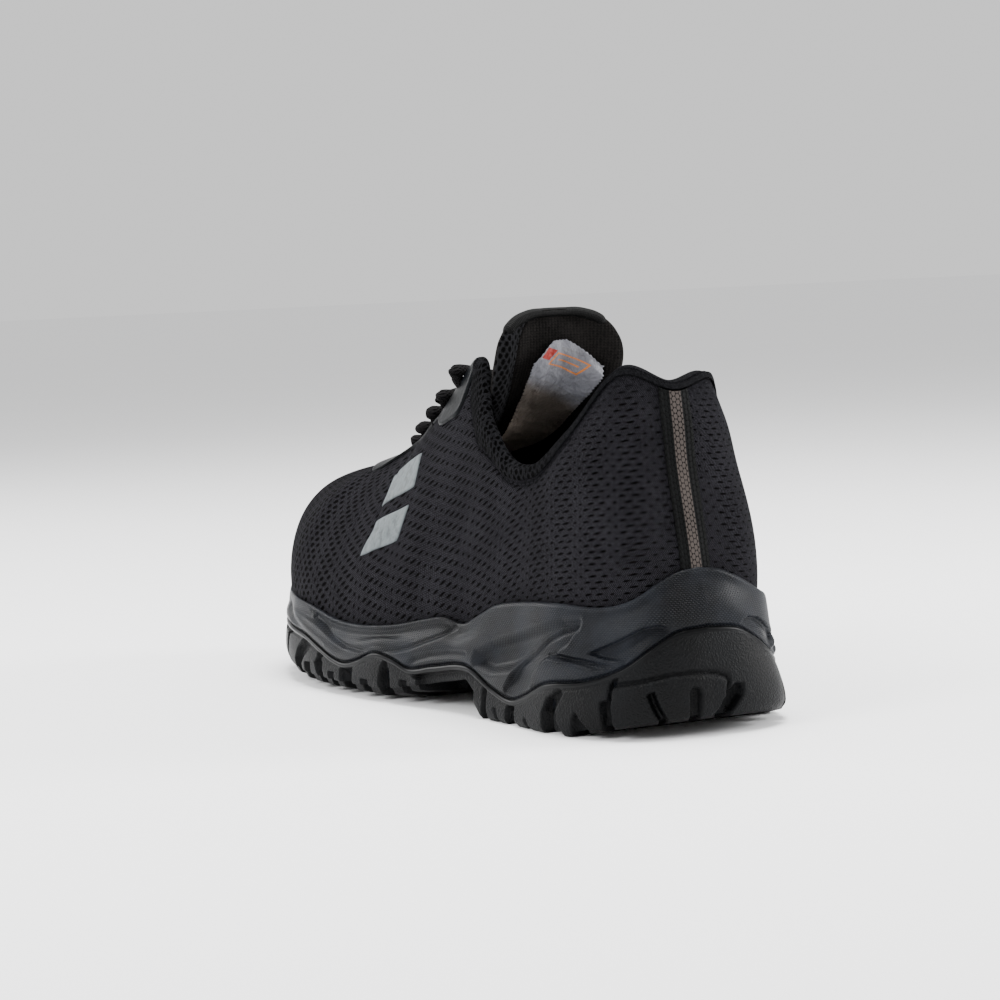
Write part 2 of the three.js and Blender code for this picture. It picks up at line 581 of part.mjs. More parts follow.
function tongueRow(s) {
  const at = s * (TONGUE.length - 1);
  const i = Math.min(TONGUE.length - 2, Math.floor(at));
  const pick = (k) => TONGUE[Math.min(TONGUE.length - 1, Math.max(0, i + k))];
  const value = (name) => spline(pick(-1)[name], pick(0)[name], pick(1)[name], pick(2)[name], at - i);
  return {
    y: HEEL_OVERHANG + value('y') * LAST_LENGTH,
    z: value('z') * TONGUE_TOP,
    half: value('half') * TONGUE_HALF_WIDTH,
    thick: value('thick') * TONGUE_THICKNESS,
    bend: value('bend') * TONGUE_HALF_WIDTH,
    side: value('side') * TONGUE_HALF_WIDTH,
  };
}

// Point on or in the tongue: s along it, across from -1 to 1, deep from -1 (foot side) to 1 (lace side)
function tonguePoint(s, across, deep, proud) {
  const row = tongueRow(s);
  const e = 0.01;
  const before = tongueRow(Math.max(0, s - e));
  const after = tongueRow(Math.min(1, s + e));
  const along = new THREE.Vector3(0, after.y - before.y, after.z - before.z).normalize();
  const front = new THREE.Vector3(0, along.z, -along.y);
  return new THREE.Vector3(row.side + across * row.half, row.y, row.z)
    .addScaledVector(front, deep * (row.thick / 2 + proud) - row.bend * across * across);
}

function makeTongue() {
  const along = 22;
  const around = 20;
  const rings = [];
  const power = (value, k) => Math.sign(value) * Math.abs(value) ** k;
  for (let i = 0; i <= along; i += 1) {
    rings.push(Array.from({ length: around }, (_, k) => {
      const angle = 2 * Math.PI * k / around;
      return tonguePoint(i / along, power(Math.cos(angle), 0.9), power(Math.sin(angle), 0.75), 0);
    }));
  }
  return loft(rings, true);
}

// Cloth label sewn under the tongue's top and hanging into the shoe
function makeTongueLabel() {
  const top = 0.75;
  const bottom = 0.33;
  const place = (proud) => (i, j) => {
    const corner = 0.13 * clamp01(2 * j - 1) * i * i;
    const s = bottom + (top - bottom) * i - corner;
    const centre = 0.3 * (i - 0.55);
    const across = centre + (j - 0.5) * LABEL_WIDTH / TONGUE_HALF_WIDTH * (0.85 + 0.15 * i);
    return tonguePoint(s, across, -1, proud);
  };
  return slab(10, 6, place(GAP + LABEL_THICKNESS), place(GAP));
}

// Eyestay film on one side of the throat
function makeEyestay(side) {
  const first = EYESTAY[0].rib;
  const last = EYESTAY[EYESTAY.length - 1].rib;
  const place = (lift) => (i, j) => {
    const rib = first + (last - first) * i;
    const low = tableAt(EYESTAY, 'rib', 'low', rib);
    return skin(side * rib, low + (EYESTAY_HIGH - low) * j, lift);
  };
  return slab(26, 3, place(GAP + STAY_THICKNESS), place(GAP));
}

// Woven tape up the middle of the heel
function makeHeelStrip() {
  const low = rimShare(0) + 0.012;
  const place = (lift) => (i, j) => {
    const v = low + (STRIP_HIGH - low) * i;
    const width = ribPoint(0.5, v).distanceTo(ribPoint(-0.5, v));
    const u = (j - 0.5) * STRIP_WIDTH / width;
    return skin(u, v, lift);
  };
  return slab(10, 4, place(GAP + STRIP_THICKNESS), place(GAP));
}

// Lace across the throat from hole to hole, slanting to the next row

// Run of lace that leaves one hole along the film, climbs over the throat edge and goes down the other side
function lacePath(from, to) {
  const lift = 2 * GAP + STAY_THICKNESS + LACE_WIDTH / 2;
  const overEdge = (hole) => skin(hole.u, 1, 0.5 * lift).add(new THREE.Vector3(0, 0, 0.6 * lift));
  return new THREE.CatmullRomCurve3([
    skin(from.u, from.v, lift), overEdge(from), overEdge(to), skin(to.u, to.v, lift),
  ]);
}

function laceTube(path) {
  const shape = new THREE.Shape();
  shape.absellipse(0, 0, LACE_THICKNESS / 2, LACE_WIDTH / 2, 0, 2 * Math.PI, false, 0);
  return new THREE.ExtrudeGeometry(shape, {
    steps: 7, curveSegments: 2, bevelEnabled: false, extrudePath: path,
  });
}

function makeLaces() {
  let lace = null;
  const add = (path) => {
    const tube = toManifold(laceTube(path));
    lace = lace ? lace.add(tube) : tube;
  };
  const hole = (row, side) => ({ u: side * row.rib, v: row.v });
  LACE_ROWS.forEach((row, k) => {
    const next = LACE_ROWS[k + 1];
    if (!next) {
      add(lacePath(hole(row, 1), hole(row, -1)));
      return;
    }
    add(lacePath(hole(row, 1), hole(next, -1)));
    add(lacePath(hole(row, -1), hole(next, 1)));
  });
  return fromManifold(lace);
}

// The shoe

const shoe = new THREE.Group();
shoe.position.set(0, -HEEL_TREAD_Y, 0);

function addPiece(name, geometry, material) {
  const mesh = new THREE.Mesh(geometry, material);
  mesh.name = name;
  shoe.add(mesh);
}

addPiece('outsole', makeOutsole(), rubber('#2b2d30'));
addPiece('midsole', makeMidsole(), rubber('#26292d'));
addPiece('insole', makeInsole(), cloth('#2a2a2c'));
addPiece('upper', makeUpper(), cloth('#17181a'));
addPiece('tongue', makeTongue(), cloth('#1d1d1f'));
addPiece('tongue_label', makeTongueLabel(), cloth('#c9c8c6'));
addPiece('eyestay_outer', makeEyestay(1), film('#3a4045'));
addPiece('eyestay_inner', makeEyestay(-1), film('#3a4045'));
addPiece('heel_strip', makeHeelStrip(), cloth('#4a4a48'));
addPiece('laces', makeLaces(), cloth('#141516'));

export default shoe;
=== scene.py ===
"""Left safety sneaker, size 42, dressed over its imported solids.

Sizes and tables are in millimetres, with y counted from the rearmost point of the sole, as the solids' own
source has them. Grid.build() turns such points into metres in the shared frame.
"""

import logging
import math
from dataclasses import dataclass, field
from enum import Enum
from typing import ClassVar

import bpy
import numpy as np
from mathutils import Matrix, Vector


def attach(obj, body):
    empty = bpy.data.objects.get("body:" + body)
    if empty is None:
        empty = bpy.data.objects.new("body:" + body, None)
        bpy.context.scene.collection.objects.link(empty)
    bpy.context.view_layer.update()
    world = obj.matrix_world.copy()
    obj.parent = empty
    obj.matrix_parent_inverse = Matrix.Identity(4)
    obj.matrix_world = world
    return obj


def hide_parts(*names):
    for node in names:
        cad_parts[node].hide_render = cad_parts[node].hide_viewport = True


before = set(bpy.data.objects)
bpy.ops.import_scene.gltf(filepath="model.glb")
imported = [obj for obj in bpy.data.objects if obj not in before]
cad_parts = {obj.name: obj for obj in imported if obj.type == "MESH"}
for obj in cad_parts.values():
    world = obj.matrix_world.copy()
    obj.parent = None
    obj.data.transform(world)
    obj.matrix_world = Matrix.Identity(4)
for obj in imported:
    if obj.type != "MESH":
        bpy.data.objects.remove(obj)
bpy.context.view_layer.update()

LOG = logging.getLogger("sneaker")
Array = np.ndarray
Socket = bpy.types.NodeSocket
Colour = tuple[float, float, float, float]
Box = tuple[float, float, float, float]
Path = tuple[tuple[float, float], ...]
MM = 0.001
HEEL_TREAD_Y = 45.0
TURN = 20  # ribs round the last
FULL_TURN = 2 * math.pi
NO_SEAM = 9.0  # distance kept on points that no seam is near


# ---- numbers and curves ----


def smooth(low: float, high: float, at: Array) -> Array:
    """Soft step: 0 below low, 1 above high, 3k^2 - 2k^3 between."""
    k = np.clip((at - low) / (high - low), 0.0, 1.0)
    return k * k * (3.0 - 2.0 * k)


def fall(low: float, high: float, at: Array) -> Array:
    """Soft step down: 1 below low, 0 above high."""
    return 1 - smooth(low, high, at)


def bell(at: Array, centre: float, width: float) -> Array:
    """Soft hump: exp of minus the square of the distance from centre over width."""
    return np.exp(-(((at - centre) / width) ** 2))


def spline(a: Array, b: Array, c: Array, d: Array, t: Array) -> Array:
    """Uniform Catmull-Rom value between b (t = 0) and c (t = 1)."""
    return 0.5 * (2 * b + (c - a) * t + (2 * a - 5 * b + 4 * c - d) * t * t + (3 * b - a - 3 * c + d) * t**3)


def through(keys: Array, at: Array) -> Array:
    """Catmull-Rom curve through the rows of a table, its ends held, read at places counted in rows."""
    last = len(keys) - 1
    i = np.minimum(np.floor(at).astype(int), last - 1)
    a, b, c, d = (keys[np.clip(i + k, 0, last)] for k in (-1, 0, 1, 2))
    return spline(a, b, c, d, (at - i).reshape(np.shape(at) + (1,) * (keys.ndim - 1)))


def unit(vectors: Array) -> Array:
    """Vectors divided by their lengths."""
    return vectors / np.maximum(np.linalg.norm(vectors, axis=-1, keepdims=True), 1e-9)


def travel(points: Array, axis: int = 0) -> Array:
    """Way gone along rows or columns of points: the running sum of the steps, from 0."""
    step = np.linalg.norm(np.diff(points, axis=axis), axis=-1)
    return np.concatenate([np.zeros_like(step.take([0], axis)), np.cumsum(step, axis)], axis)


def wrapped(columns: Array) -> Array:
    """The columns with the first one again at their end."""
    return np.concatenate([columns, columns[:, :1]], 1)


def pattern(a: Array, b: Array) -> Array:
    """Pattern coordinates from two arrays that fit each other's shape."""
    return np.stack(np.broadcast_arrays(a, b), -1)


def sheet_grid(rows: int, cols: int, low: float = 0.0) -> tuple[Array, Array]:
    """Shares along the rows and the columns of a sheet, from low to 1."""
    return np.meshgrid(np.linspace(low, 1, rows), np.linspace(low, 1, cols), indexing="ij")


@dataclass(frozen=True)
class Table:
    """Columns of numbers against a key, read with a smooth step from row to row."""

    names: tuple[str, ...]
    rows: tuple[tuple[float, ...], ...]

    def at(self, name: str, key: Array) -> Array:
        """Value of one column at a key, by cubic Hermite steps with the slopes of the neighbouring rows.

        Args:
            name: the column.
            key: where to read it; held inside the table's ends.

        Returns:
            An array of key's shape.
        """
        data = np.array(self.rows, float)
        keys, values = data[:, 0], data[:, self.names.index(name)]
        last = len(keys) - 1
        at = np.clip(key, keys[0], keys[-1])
        i = np.clip(np.searchsorted(keys, at, side="right") - 1, 0, last - 1)
        before, after = np.maximum(i - 1, 0), np.minimum(i + 2, last)
        width = keys[i + 1] - keys[i]
        t = (at - keys[i]) / width
        slope_a = (values[i + 1] - values[before]) / (keys[i + 1] - keys[before]) * width
        slope_b = (values[after] - values[i]) / (keys[after] - keys[i]) * width
        t2, t3 = t * t, t * t * t
        return (
            (2 * t3 - 3 * t2 + 1) * values[i]
            + (t3 - 2 * t2 + t) * slope_a
            + (3 * t2 - 2 * t3) * values[i + 1]
            + (t3 - t2) * slope_b
        )


def path_distance(x: Array, y: Array, path: Array) -> Array:
    """Distance from points to an open path of straight runs.

    Args:
        x, y: the points.
        path: corner points, one row each.

    Returns:
        The distances, in x's shape.
    """
    best = np.full(np.shape(x), np.inf)
    for a, b in zip(path[:-1], path[1:]):
        run = np.hypot(*(b - a))
        d = (b - a) / run
        k = np.clip((x - a[0]) * d[0] + (y - a[1]) * d[1], 0.0, run)
        best = np.minimum(best, np.hypot(x - a[0] - k * d[0], y - a[1] - k * d[1]))
    return best


def inside(x: Array, y: Array, corners: Array) -> Array:
    """Signed distance to a closed outline of straight runs: above 0 inside it, below 0 outside."""
    loop = np.vstack([corners, corners[:1]])
    gap = path_distance(x, y, loop)
    odd = np.zeros(np.shape(x), bool)
    for (ax, ay), (bx, by) in zip(loop[:-1], loop[1:]):
        if ay == by:
            continue
        crosses = (ay > y) != (by > y)
        odd ^= crosses & (x < (bx - ax) * (y - ay) / (by - ay) + ax)
    return np.where(odd, gap, -gap)


# ---- the last, shared by upper, lining and overlays ----


@dataclass(frozen=True)
class Last:
    """The upper's outer surface: ribs from the feather line (v = 0) to the collar and throat line (v = 1)."""

    length: float = 276.0
    heel_overhang: float = 8.0
    ball_half: float = 51.0
    heel_half: float = 33.0
    collar: float = 112.0
    instep: float = 121.0
    toe: float = 79.0
    feather: float = 30.0
    wall: float = 2.4
    collar_pad: float = 6.4
    gap: float = 0.3
    ribs: tuple[tuple, ...] = (
        ("heel", "collar", 0, 0, 1, 0, 0.033, 1, 0.1, 0.32, -0.04, 0.3),
        ("heel", "collar", -0.61, 0.022, 1, -0.48, 0.06, 1.05, 0.08, 0.31, -0.02, 0.31),
        ("heel", "collar", -0.94, 0.1, 0.97, -0.76, 0.127, 0.893, 0.08, 0.35, 0.04, 0.37),
        ("heel", "collar", -1, 0.21, 0.93, -0.88, 0.213, 0.79, 0.08, 0.35, 0.04, 0.35),
        ("heel", "instep", -1.09, 0.326, 0.87, -0.89, 0.308, 0.84, 0.08, 0.3, 0.08, 0.3),
        ("ball", "instep", -0.82, 0.435, 0.77, -0.43, 0.38, 1, 0.08, 0.28, 0.2, 0.28),
        ("ball", "instep", -0.94, 0.543, 0.67, -0.39, 0.49, 0.865, 0.08, 0.36, 0.31, 0.2),
        ("ball", "instep", -1, 0.66, 0.6, -0.35, 0.58, 0.76, 0.09, 0.42, 0.39, 0.15),
        ("ball", "toe", -0.96, 0.79, 0.63, -0.26, 0.66, 1.057, 0.15, 0.56, 0.66, 0.04),
        ("ball", "toe", -0.62, 0.93, 0.73, -0.15, 0.695, 1.02, 0.18, 0.7, 1.02, 0.01),
        ("ball", "toe", 0.08, 1, 0.8, 0, 0.71, 1, 0.15, 0.74, 1.24, 0),
        ("ball", "toe", 0.68, 0.943, 0.73, 0.15, 0.695, 1.02, 0.16, 0.7, 1, 0.01),
        ("ball", "toe", 0.93, 0.83, 0.63, 0.26, 0.66, 1.057, 0.12, 0.54, 0.6, 0.06),
        ("ball", "instep", 0.96, 0.703, 0.6, 0.35, 0.58, 0.76, 0.09, 0.42, 0.39, 0.15),
        ("ball", "instep", 0.84, 0.58, 0.67, 0.39, 0.49, 0.865, 0.08, 0.36, 0.31, 0.2),
        ("ball", "instep", 0.7, 0.457, 0.8, 0.43, 0.38, 1, 0.08, 0.28, 0.2, 0.28),
        ("heel", "instep", 0.97, 0.326, 0.9, 0.89, 0.308, 0.84, 0.08, 0.3, 0.08, 0.3),
        ("heel", "collar", 0.98, 0.21, 0.93, 0.88, 0.21, 0.8, 0.09, 0.35, 0.04, 0.35),
        ("heel", "collar", 0.97, 0.1, 0.97, 0.845, 0.127, 0.9, 0.17, 0.4, 0.1, 0.35),
        ("heel", "collar", 0.68, 0.022, 1, 0.53, 0.06, 1.025, 0.16, 0.36, 0.08, 0.31),
    )

    def rows(self) -> Array:
        """The rib table in millimetres: foot, top, and the lengths of the low and the high handle."""
        out = []
        widths = {"heel": self.heel_half, "ball": self.ball_half}
        heights = {"collar": self.collar, "instep": self.instep, "toe": self.toe}
        for wide, of, fx, fy, fz, tx, ty, tz, low_out, low_up, high_out, high_drop in self.ribs:
            top, foot = heights[of] * tz, self.feather * fz
            out.append([
                fx * widths[wide], self.heel_overhang + fy * self.length, foot,
                tx * widths[wide], self.heel_overhang + ty * self.length, top,
                low_out * self.ball_half, low_up * (top - foot),
                high_out * self.ball_half, high_drop * (top - foot),
            ])
        return np.array(out)

    def station(self, u: Array) -> Array:
        """All columns of the rib table at rib number u, closed round the shoe by a Catmull-Rom spline."""
        rows, turn = self.rows(), np.mod(u, TURN)
        i = np.floor(turn).astype(int)
        t = (turn - i)[..., None]
        return spline(rows[(i - 1) % TURN], rows[i % TURN], rows[(i + 1) % TURN], rows[(i + 2) % TURN], t)

    def outward(self, u: Array) -> Array:
        """Unit vector square to the feather line in plan, pointing out of the shoe."""
        d = self.station(u + 0.01) - self.station(u - 0.01)
        return unit(np.stack([-d[..., 1], d[..., 0], np.zeros_like(u)], -1))

    def rib(self, u: Array, v: Array) -> Array:
        """Point of the outer surface: a cubic Bezier from foot to top, with one handle along outward and one
        along the rib's own lean.

        Args:
            u: rib number round the shoe, 0 at the heel, 10 at the toe.
            v: share of the way up the rib.

        Returns:
            Points, in millimetres.
        """
        u, v = np.broadcast_arrays(np.asarray(u, float), np.asarray(v, float))
        s = self.station(u)
        foot, top = s[..., 0:3], s[..., 3:6]
        n = self.outward(u)
        lean = foot - top
        lean[..., 2] = 0
        share = np.clip(np.linalg.norm(lean, axis=-1, keepdims=True) / 12, 0, 1)
        lean = unit(unit(lean) * share + n * (1 - share))
        low = foot + n * s[..., 6:7]
        low[..., 2] = foot[..., 2] + s[..., 7]
        high = top + lean * s[..., 8:9]
        high[..., 2] = top[..., 2] - s[..., 9]
        w = v[..., None]
        return (1 - w) ** 3 * foot + 3 * (1 - w) ** 2 * w * low + 3 * (1 - w) * w * w * high + w**3 * top

    def normal(self, u: Array, v: Array) -> Array:
        """Unit normal of the outer surface, pointing out."""
        u, v = np.broadcast_arrays(np.asarray(u, float), np.asarray(v, float))
        e = 0.01
        along_u = self.rib(u + e, v) - self.rib(u - e, v)
        along_v = self.rib(u, np.minimum(1, v + e)) - self.rib(u, np.maximum(0, v - e))
        return unit(np.cross(along_v, along_u))

    def skin(self, u: Array, v: Array, lift: Array) -> Array:
        """Point at a height above the outer surface; a lift below 0 goes into the wall."""
        return self.rib(u, v) + self.normal(u, v) * np.asarray(lift, float)[..., None]

    def climb(self, u: Array, v: Array) -> Array:
        """Millimetres gained up the rib for each share of it, just under v."""
        return np.linalg.norm(self.rib(u, v) - self.rib(u, v - 0.1), axis=-1) / 0.1

    def from_heel(self, u: Array) -> Array:
        """Rib number counted from the heel back to either side, 0 to 10."""
        turn = np.mod(u, TURN)
        return np.minimum(turn, TURN - turn)

    def inner(self, u: Array) -> Array:
        """True on the inner side."""
        return np.mod(u, TURN) > TURN / 2

    def wall_at(self, u: Array, v: Array) -> Array:
        """Thickness of the upper: thin cloth, padded round the collar."""
        round_ = fall(3.9, 5.3, self.from_heel(u))
        return self.wall + (self.collar_pad - self.wall) * round_ * smooth(0.55, 0.85, v)


LAST = Last()


@dataclass(frozen=True)
class SoleForm:
    """Heights and edges that midsole and outsole share, keyed by the rib number from the heel back."""

    midsole_crest: float = 53.5
    midsole_rim: float = 2.2
    outsole_crest: float = 34.8
    flare_reach: float = 8.0
    edge_round: float = 2.6
    tread_depth: float = 3.4
    crown_reach: float = 24.0
    midsole_wave: Table = Table(("rib", "high"), (
        (0, 1), (0.3, 0.98), (0.55, 0.93), (1, 0.82), (1.45, 0.78), (2.1, 0.79), (2.8, 0.77), (3.4, 0.725),
        (3.8, 0.64), (4.14, 0.572), (4.5, 0.6), (4.9, 0.57), (5.4, 0.52), (5.9, 0.49), (6.4, 0.48),
        (6.9, 0.5), (7.5, 0.56), (8.3, 0.6), (10, 0.65),
    ))
    outsole_wave: Table = Table(("rib", "high"), (
        (0, 1), (0.42, 0.965), (0.7, 0.85), (1.1, 0.65), (1.6, 0.525), (2.2, 0.465), (2.7, 0.3), (3, 0.24),
        (3.4, 0.32), (3.9, 0.486), (4.6, 0.43), (5.05, 0.375), (5.4, 0.454), (5.75, 0.49), (6.1, 0.39),
        (6.4, 0.336), (6.65, 0.36), (7, 0.443), (7.5, 0.555), (8.5, 0.6), (10, 0.66),
    ))
    side: Table = Table(("rib", "outer", "inner", "round", "crown", "rim"), (
        (0, 1, 1.05, 0.5, 0, 1), (1, 1, 1.25, 0.4, 0, 1), (2, 1, 1.2, 0.4, 0, 1), (3.6, 1, 1, 0.3, 0, 1),
        (4.4, 0.95, 0.95, 0.6, 0, 1), (5.4, 0.95, 0.95, 1, 0.7, 1), (7, 0.9, 0.9, 1.1, 0.8, 0.8),
        (8, 0.72, 0.8, 1.1, 0.5, 0.4), (10, 0.7, 0.7, 1.1, 0.2, 0.4),
    ))
    underside_rows: tuple[tuple[float, float], ...] = (
        (-0.03, 5.88), (0, 4.515), (0.03, 2.94), (0.08, 0), (0.277, 0), (0.3, 6.3), (0.32, 11.025),
        (0.37, 8.4), (0.42, 4.725), (0.47, 1.05), (0.5, 0), (0.7, 0), (0.79, 2.4), (0.88, 5.76),
        (0.97, 10.88), (1.04, 16),
    )

    def midsole_top(self, u: Array) -> Array:
        """Height of the midsole's rim."""
        return self.midsole_crest * self.midsole_wave.at("high", LAST.from_heel(u))

    def outsole_top(self, u: Array) -> Array:
        """Height of the outsole's lip."""
        return self.outsole_crest * self.outsole_wave.at("high", LAST.from_heel(u))

    def side_at(self, u: Array, name: str) -> Array:
        """One column of the side table at rib number u."""
        return self.side.at(name, LAST.from_heel(u))

    def flare(self, u: Array) -> Array:
        """How far the outsole stands out from the feather line."""
        turn = np.mod(u, TURN)
        inner = smooth(-0.5, 0.5, np.where(turn > TURN / 2, TURN - turn, -turn))
        return self.flare_reach * (self.side_at(u, "inner") * inner + self.side_at(u, "outer") * (1 - inner))

    def lip(self, u: Array) -> Array:
        """How far the outsole's lip and the midsole stand out."""
        return np.minimum(self.flare(u), self.flare_reach)

    def beside(self, u: Array, reach: Array, high: Array = 0.0) -> Array:
        """Point at a reach out from the feather line in plan, and at a height."""
        point = LAST.station(u)[..., 0:3] + LAST.outward(u) * np.asarray(reach, float)[..., None]
        point[..., 2] = high
        return point

    def underside(self, y: Array) -> Array:
        """Height of the underside by straight steps from row to row."""
        rows = np.array(self.underside_rows)
        return np.interp(y, LAST.heel_overhang + rows[:, 0] * LAST.length, rows[:, 1])

    def floor(self, u: Array) -> Array:
        """Height of the underside where the tread's crown ends."""
        return self.underside(self.beside(u, self.flare(u) - self.crown_reach)[..., 1])

    def tread(self, u: Array, inset: Array) -> Array:
        """Height of the tread at an inset from the outsole's side."""
        fall = np.clip(1 - inset / self.crown_reach, 0, 1)
        y = self.beside(u, self.flare(u) - inset)[..., 1]
        return self.underside(y) + self.tread_depth * self.side_at(u, "crown") * fall * fall

    def run(self, u: Array) -> Array:
        """Way round the lip in millimetres at evenly spaced rib numbers, one value more than u has."""
        mid = self.beside(u, self.lip(u))
        return travel(np.concatenate([mid, mid[:1]]))

    def along(self, u: Array) -> Array:
        """Way along the lip from the heel's back, above 0 on the outer side and below 0 on the inner side."""
        run = self.run(u)
        return np.where(LAST.inner(u), run[:-1] - run[-1], run[:-1])

    def rim_share(self, u: Array) -> Array:
        """Share of the rib at which the upper comes out of the midsole's rim, found by halving."""
        low, high = np.zeros_like(u), np.full_like(u, 0.9)
        for _ in range(24):
            mid = (low + high) / 2
            below = LAST.rib(u, mid)[..., 2] < self.midsole_top(u)
            low, high = np.where(below, mid, low), np.where(below, high, mid)
        return low


SOLE = SoleForm()


# ---- meshes ----


class Slot(Enum):
    """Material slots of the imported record."""

    OUTSOLE = "outsole_rubber"
    MIDSOLE = "midsole_foam"
    INSOLE = "insole_cloth"
    UPPER = "upper_mesh"
    TONGUE = "tongue_cloth"
    LABEL = "label_cloth"
    EYESTAY = "eyestay_film"
    HEEL = "heel_tape"
    LACE = "lace_cord"


@dataclass
class Grid:
    """Rows and columns of points joined by quads, closed on themselves where wrapped, with a UV."""

    points: Array
    uv: Array | None = None
    wrap_rows: bool = False
    wrap_cols: bool = False
    sewn: bool = False
    marks: dict[str, Array] = field(default_factory=dict)

    def quads(self) -> tuple[Array, Array]:
        """Corners of the quads as numbers of points, and as row and column pairs that run on over a wrap."""
        rows, cols = self.points.shape[:2]
        i, j = np.meshgrid(
            np.arange(rows if self.wrap_rows else rows - 1),
            np.arange(cols if self.wrap_cols else cols - 1), indexing="ij")
        i, j = i.ravel(), j.ravel()
        ri = np.stack([i, i, i + 1, i + 1], 1)
        cj = np.stack([j, j + 1, j + 1, j], 1)
        return (ri % rows) * cols + cj % cols, np.stack([ri, cj], -1)

    def caps(self) -> Array:
        """Triangles that sew the first and the last row shut, column k to column count - k."""
        rows, cols = self.points.shape[:2]
        k = np.arange(1, cols // 2)
        strip = np.concatenate([
            np.stack([k - 1, k, cols - k], 1), np.stack([k, cols - k - 1, cols - k], 1)])
        strip = strip[(strip[:, 0] != strip[:, 1]) & (strip[:, 1] != strip[:, 2])]
        return np.vstack([strip[:, ::-1], strip + (rows - 1) * cols])

    def build(self, name: str, flip: bool | None = None) -> bpy.types.Object:
        """A mesh object of the grid.

        Args:
            name: the piece's name.
            flip: turn the faces over; None turns them so that the enclosed volume is above 0.

        Returns:
            The new object, linked to the scene, with its place in its mesh.
        """
        points = (self.points.reshape(-1, 3) - np.array([0.0, HEEL_TREAD_Y, 0.0])) * MM
        cols = self.points.shape[1]
        quads, corners = self.quads()
        a, b, c, d = (points[quads[:, n]] for n in range(4))
        volume = np.einsum("ij,ij->", a, np.cross(b, c)) + np.einsum("ij,ij->", a, np.cross(c, d))
        loops, places = quads.ravel(), corners.reshape(-1, 2)
        sizes = np.full(len(quads), 4)
        if self.sewn:
            caps = self.caps()
            a, b, c = (points[caps[:, n]] for n in range(3))
            volume += np.einsum("ij,ij->", a, np.cross(b, c))
            loops = np.concatenate([loops, caps.ravel()])
            places = np.vstack([places, np.stack([caps.ravel() // cols, caps.ravel() % cols], -1)])
            sizes = np.concatenate([sizes, np.full(len(caps), 3)])
        starts = np.concatenate([[0], np.cumsum(sizes)[:-1]])
        if (volume < 0) if flip is None else flip:
            ends = np.repeat(starts + sizes - 1, sizes)
            order = ends - (np.arange(len(loops)) - np.repeat(starts, sizes))
            loops, places = loops[order], places[order]
        mesh = bpy.data.meshes.new(name)
        mesh.vertices.add(len(points))
        mesh.vertices.foreach_set("co", points.astype(np.float32).ravel())
        mesh.loops.add(len(loops))
        mesh.loops.foreach_set("vertex_index", loops.astype(np.int32))
        mesh.polygons.add(len(sizes))
        mesh.polygons.foreach_set("loop_start", starts.astype(np.int32))
        mesh.update(calc_edges=True)
        if self.uv is not None:
            rows, columns = self.uv.shape[:2]
            picked = self.uv[np.minimum(places[:, 0], rows - 1), np.minimum(places[:, 1], columns - 1)]
            layer = mesh.uv_layers.new(name="cloth")
            layer.data.foreach_set("uv", picked.astype(np.float32).ravel())
        for key, values in self.marks.items():
            mark = mesh.attributes.new(key, "FLOAT", "POINT")
            full = np.broadcast_to(values, self.points.shape[:2])
            mark.data.foreach_set("value", full.astype(np.float32).ravel())
        mesh.polygons.foreach_set("use_smooth", np.ones(len(mesh.polygons), bool))
        mesh.validate()
        mesh.update()
        piece = bpy.data.objects.new(name, mesh)
        bpy.context.scene.collection.objects.link(piece)
        return piece


def slab(outer: Array, inner: Array, uv: Array, marks: dict[str, Array] | None = None) -> Grid:
    """Thin closed slab between two surfaces over the same grid.

    The points go over the outer surface and back under the inner one, as rings that close on themselves.

    Args:
        outer: points of the outer surface, rows by columns.
        inner: points of the inner surface, same shape.
        uv: pattern coordinates of the outer surface, used for both.
        marks: values on the outer surface's points, used for both.

    Returns:
        A grid wrapped in its columns, sewn at both ends.
    """
    both = lambda there, back: np.concatenate([there, back[:, ::-1]], 1)
    named = {key: both(mark, mark) for key, mark in (marks or {}).items()}
    return Grid(both(outer, inner), wrapped(both(uv, uv)), wrap_cols=True, sewn=True, marks=named)


def tube(path: Array, side: Array, up: Array, around: int) -> Grid:
    """Closed tube along a path: half axes side and up carried round an ellipse.

    Args:
        path: points of the centre line.
        side: one half axis at each point.
        up: the other half axis at each point.
        around: how many points go round.

    Returns:
        A grid wrapped in its columns, sewn at both ends.
    """
    a = np.linspace(0, FULL_TURN, around, endpoint=False)[None, :, None]
    points = path[:, None] + side[:, None] * np.cos(a) + up[:, None] * np.sin(a)
    girth = np.linspace(0, FULL_TURN, around + 1) * np.linalg.norm(side, axis=1).mean()
    return Grid(points, pattern(travel(path)[:, None], girth), wrap_cols=True, sewn=True)


def dress(piece: bpy.types.Object, finish: "Finish", slot: Slot, *nodes: str) -> bpy.types.Object:
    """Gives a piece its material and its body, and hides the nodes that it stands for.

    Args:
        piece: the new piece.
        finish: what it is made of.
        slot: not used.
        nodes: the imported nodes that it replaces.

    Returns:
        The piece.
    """
    piece.data.materials.clear()
    piece.data.materials.append(finish.material())
    if nodes:
        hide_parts(*nodes)
    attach(piece, "root")
    LOG.info("%s: %d faces", piece.name, len(piece.data.polygons))
    return piece


# ---- shader trees ----


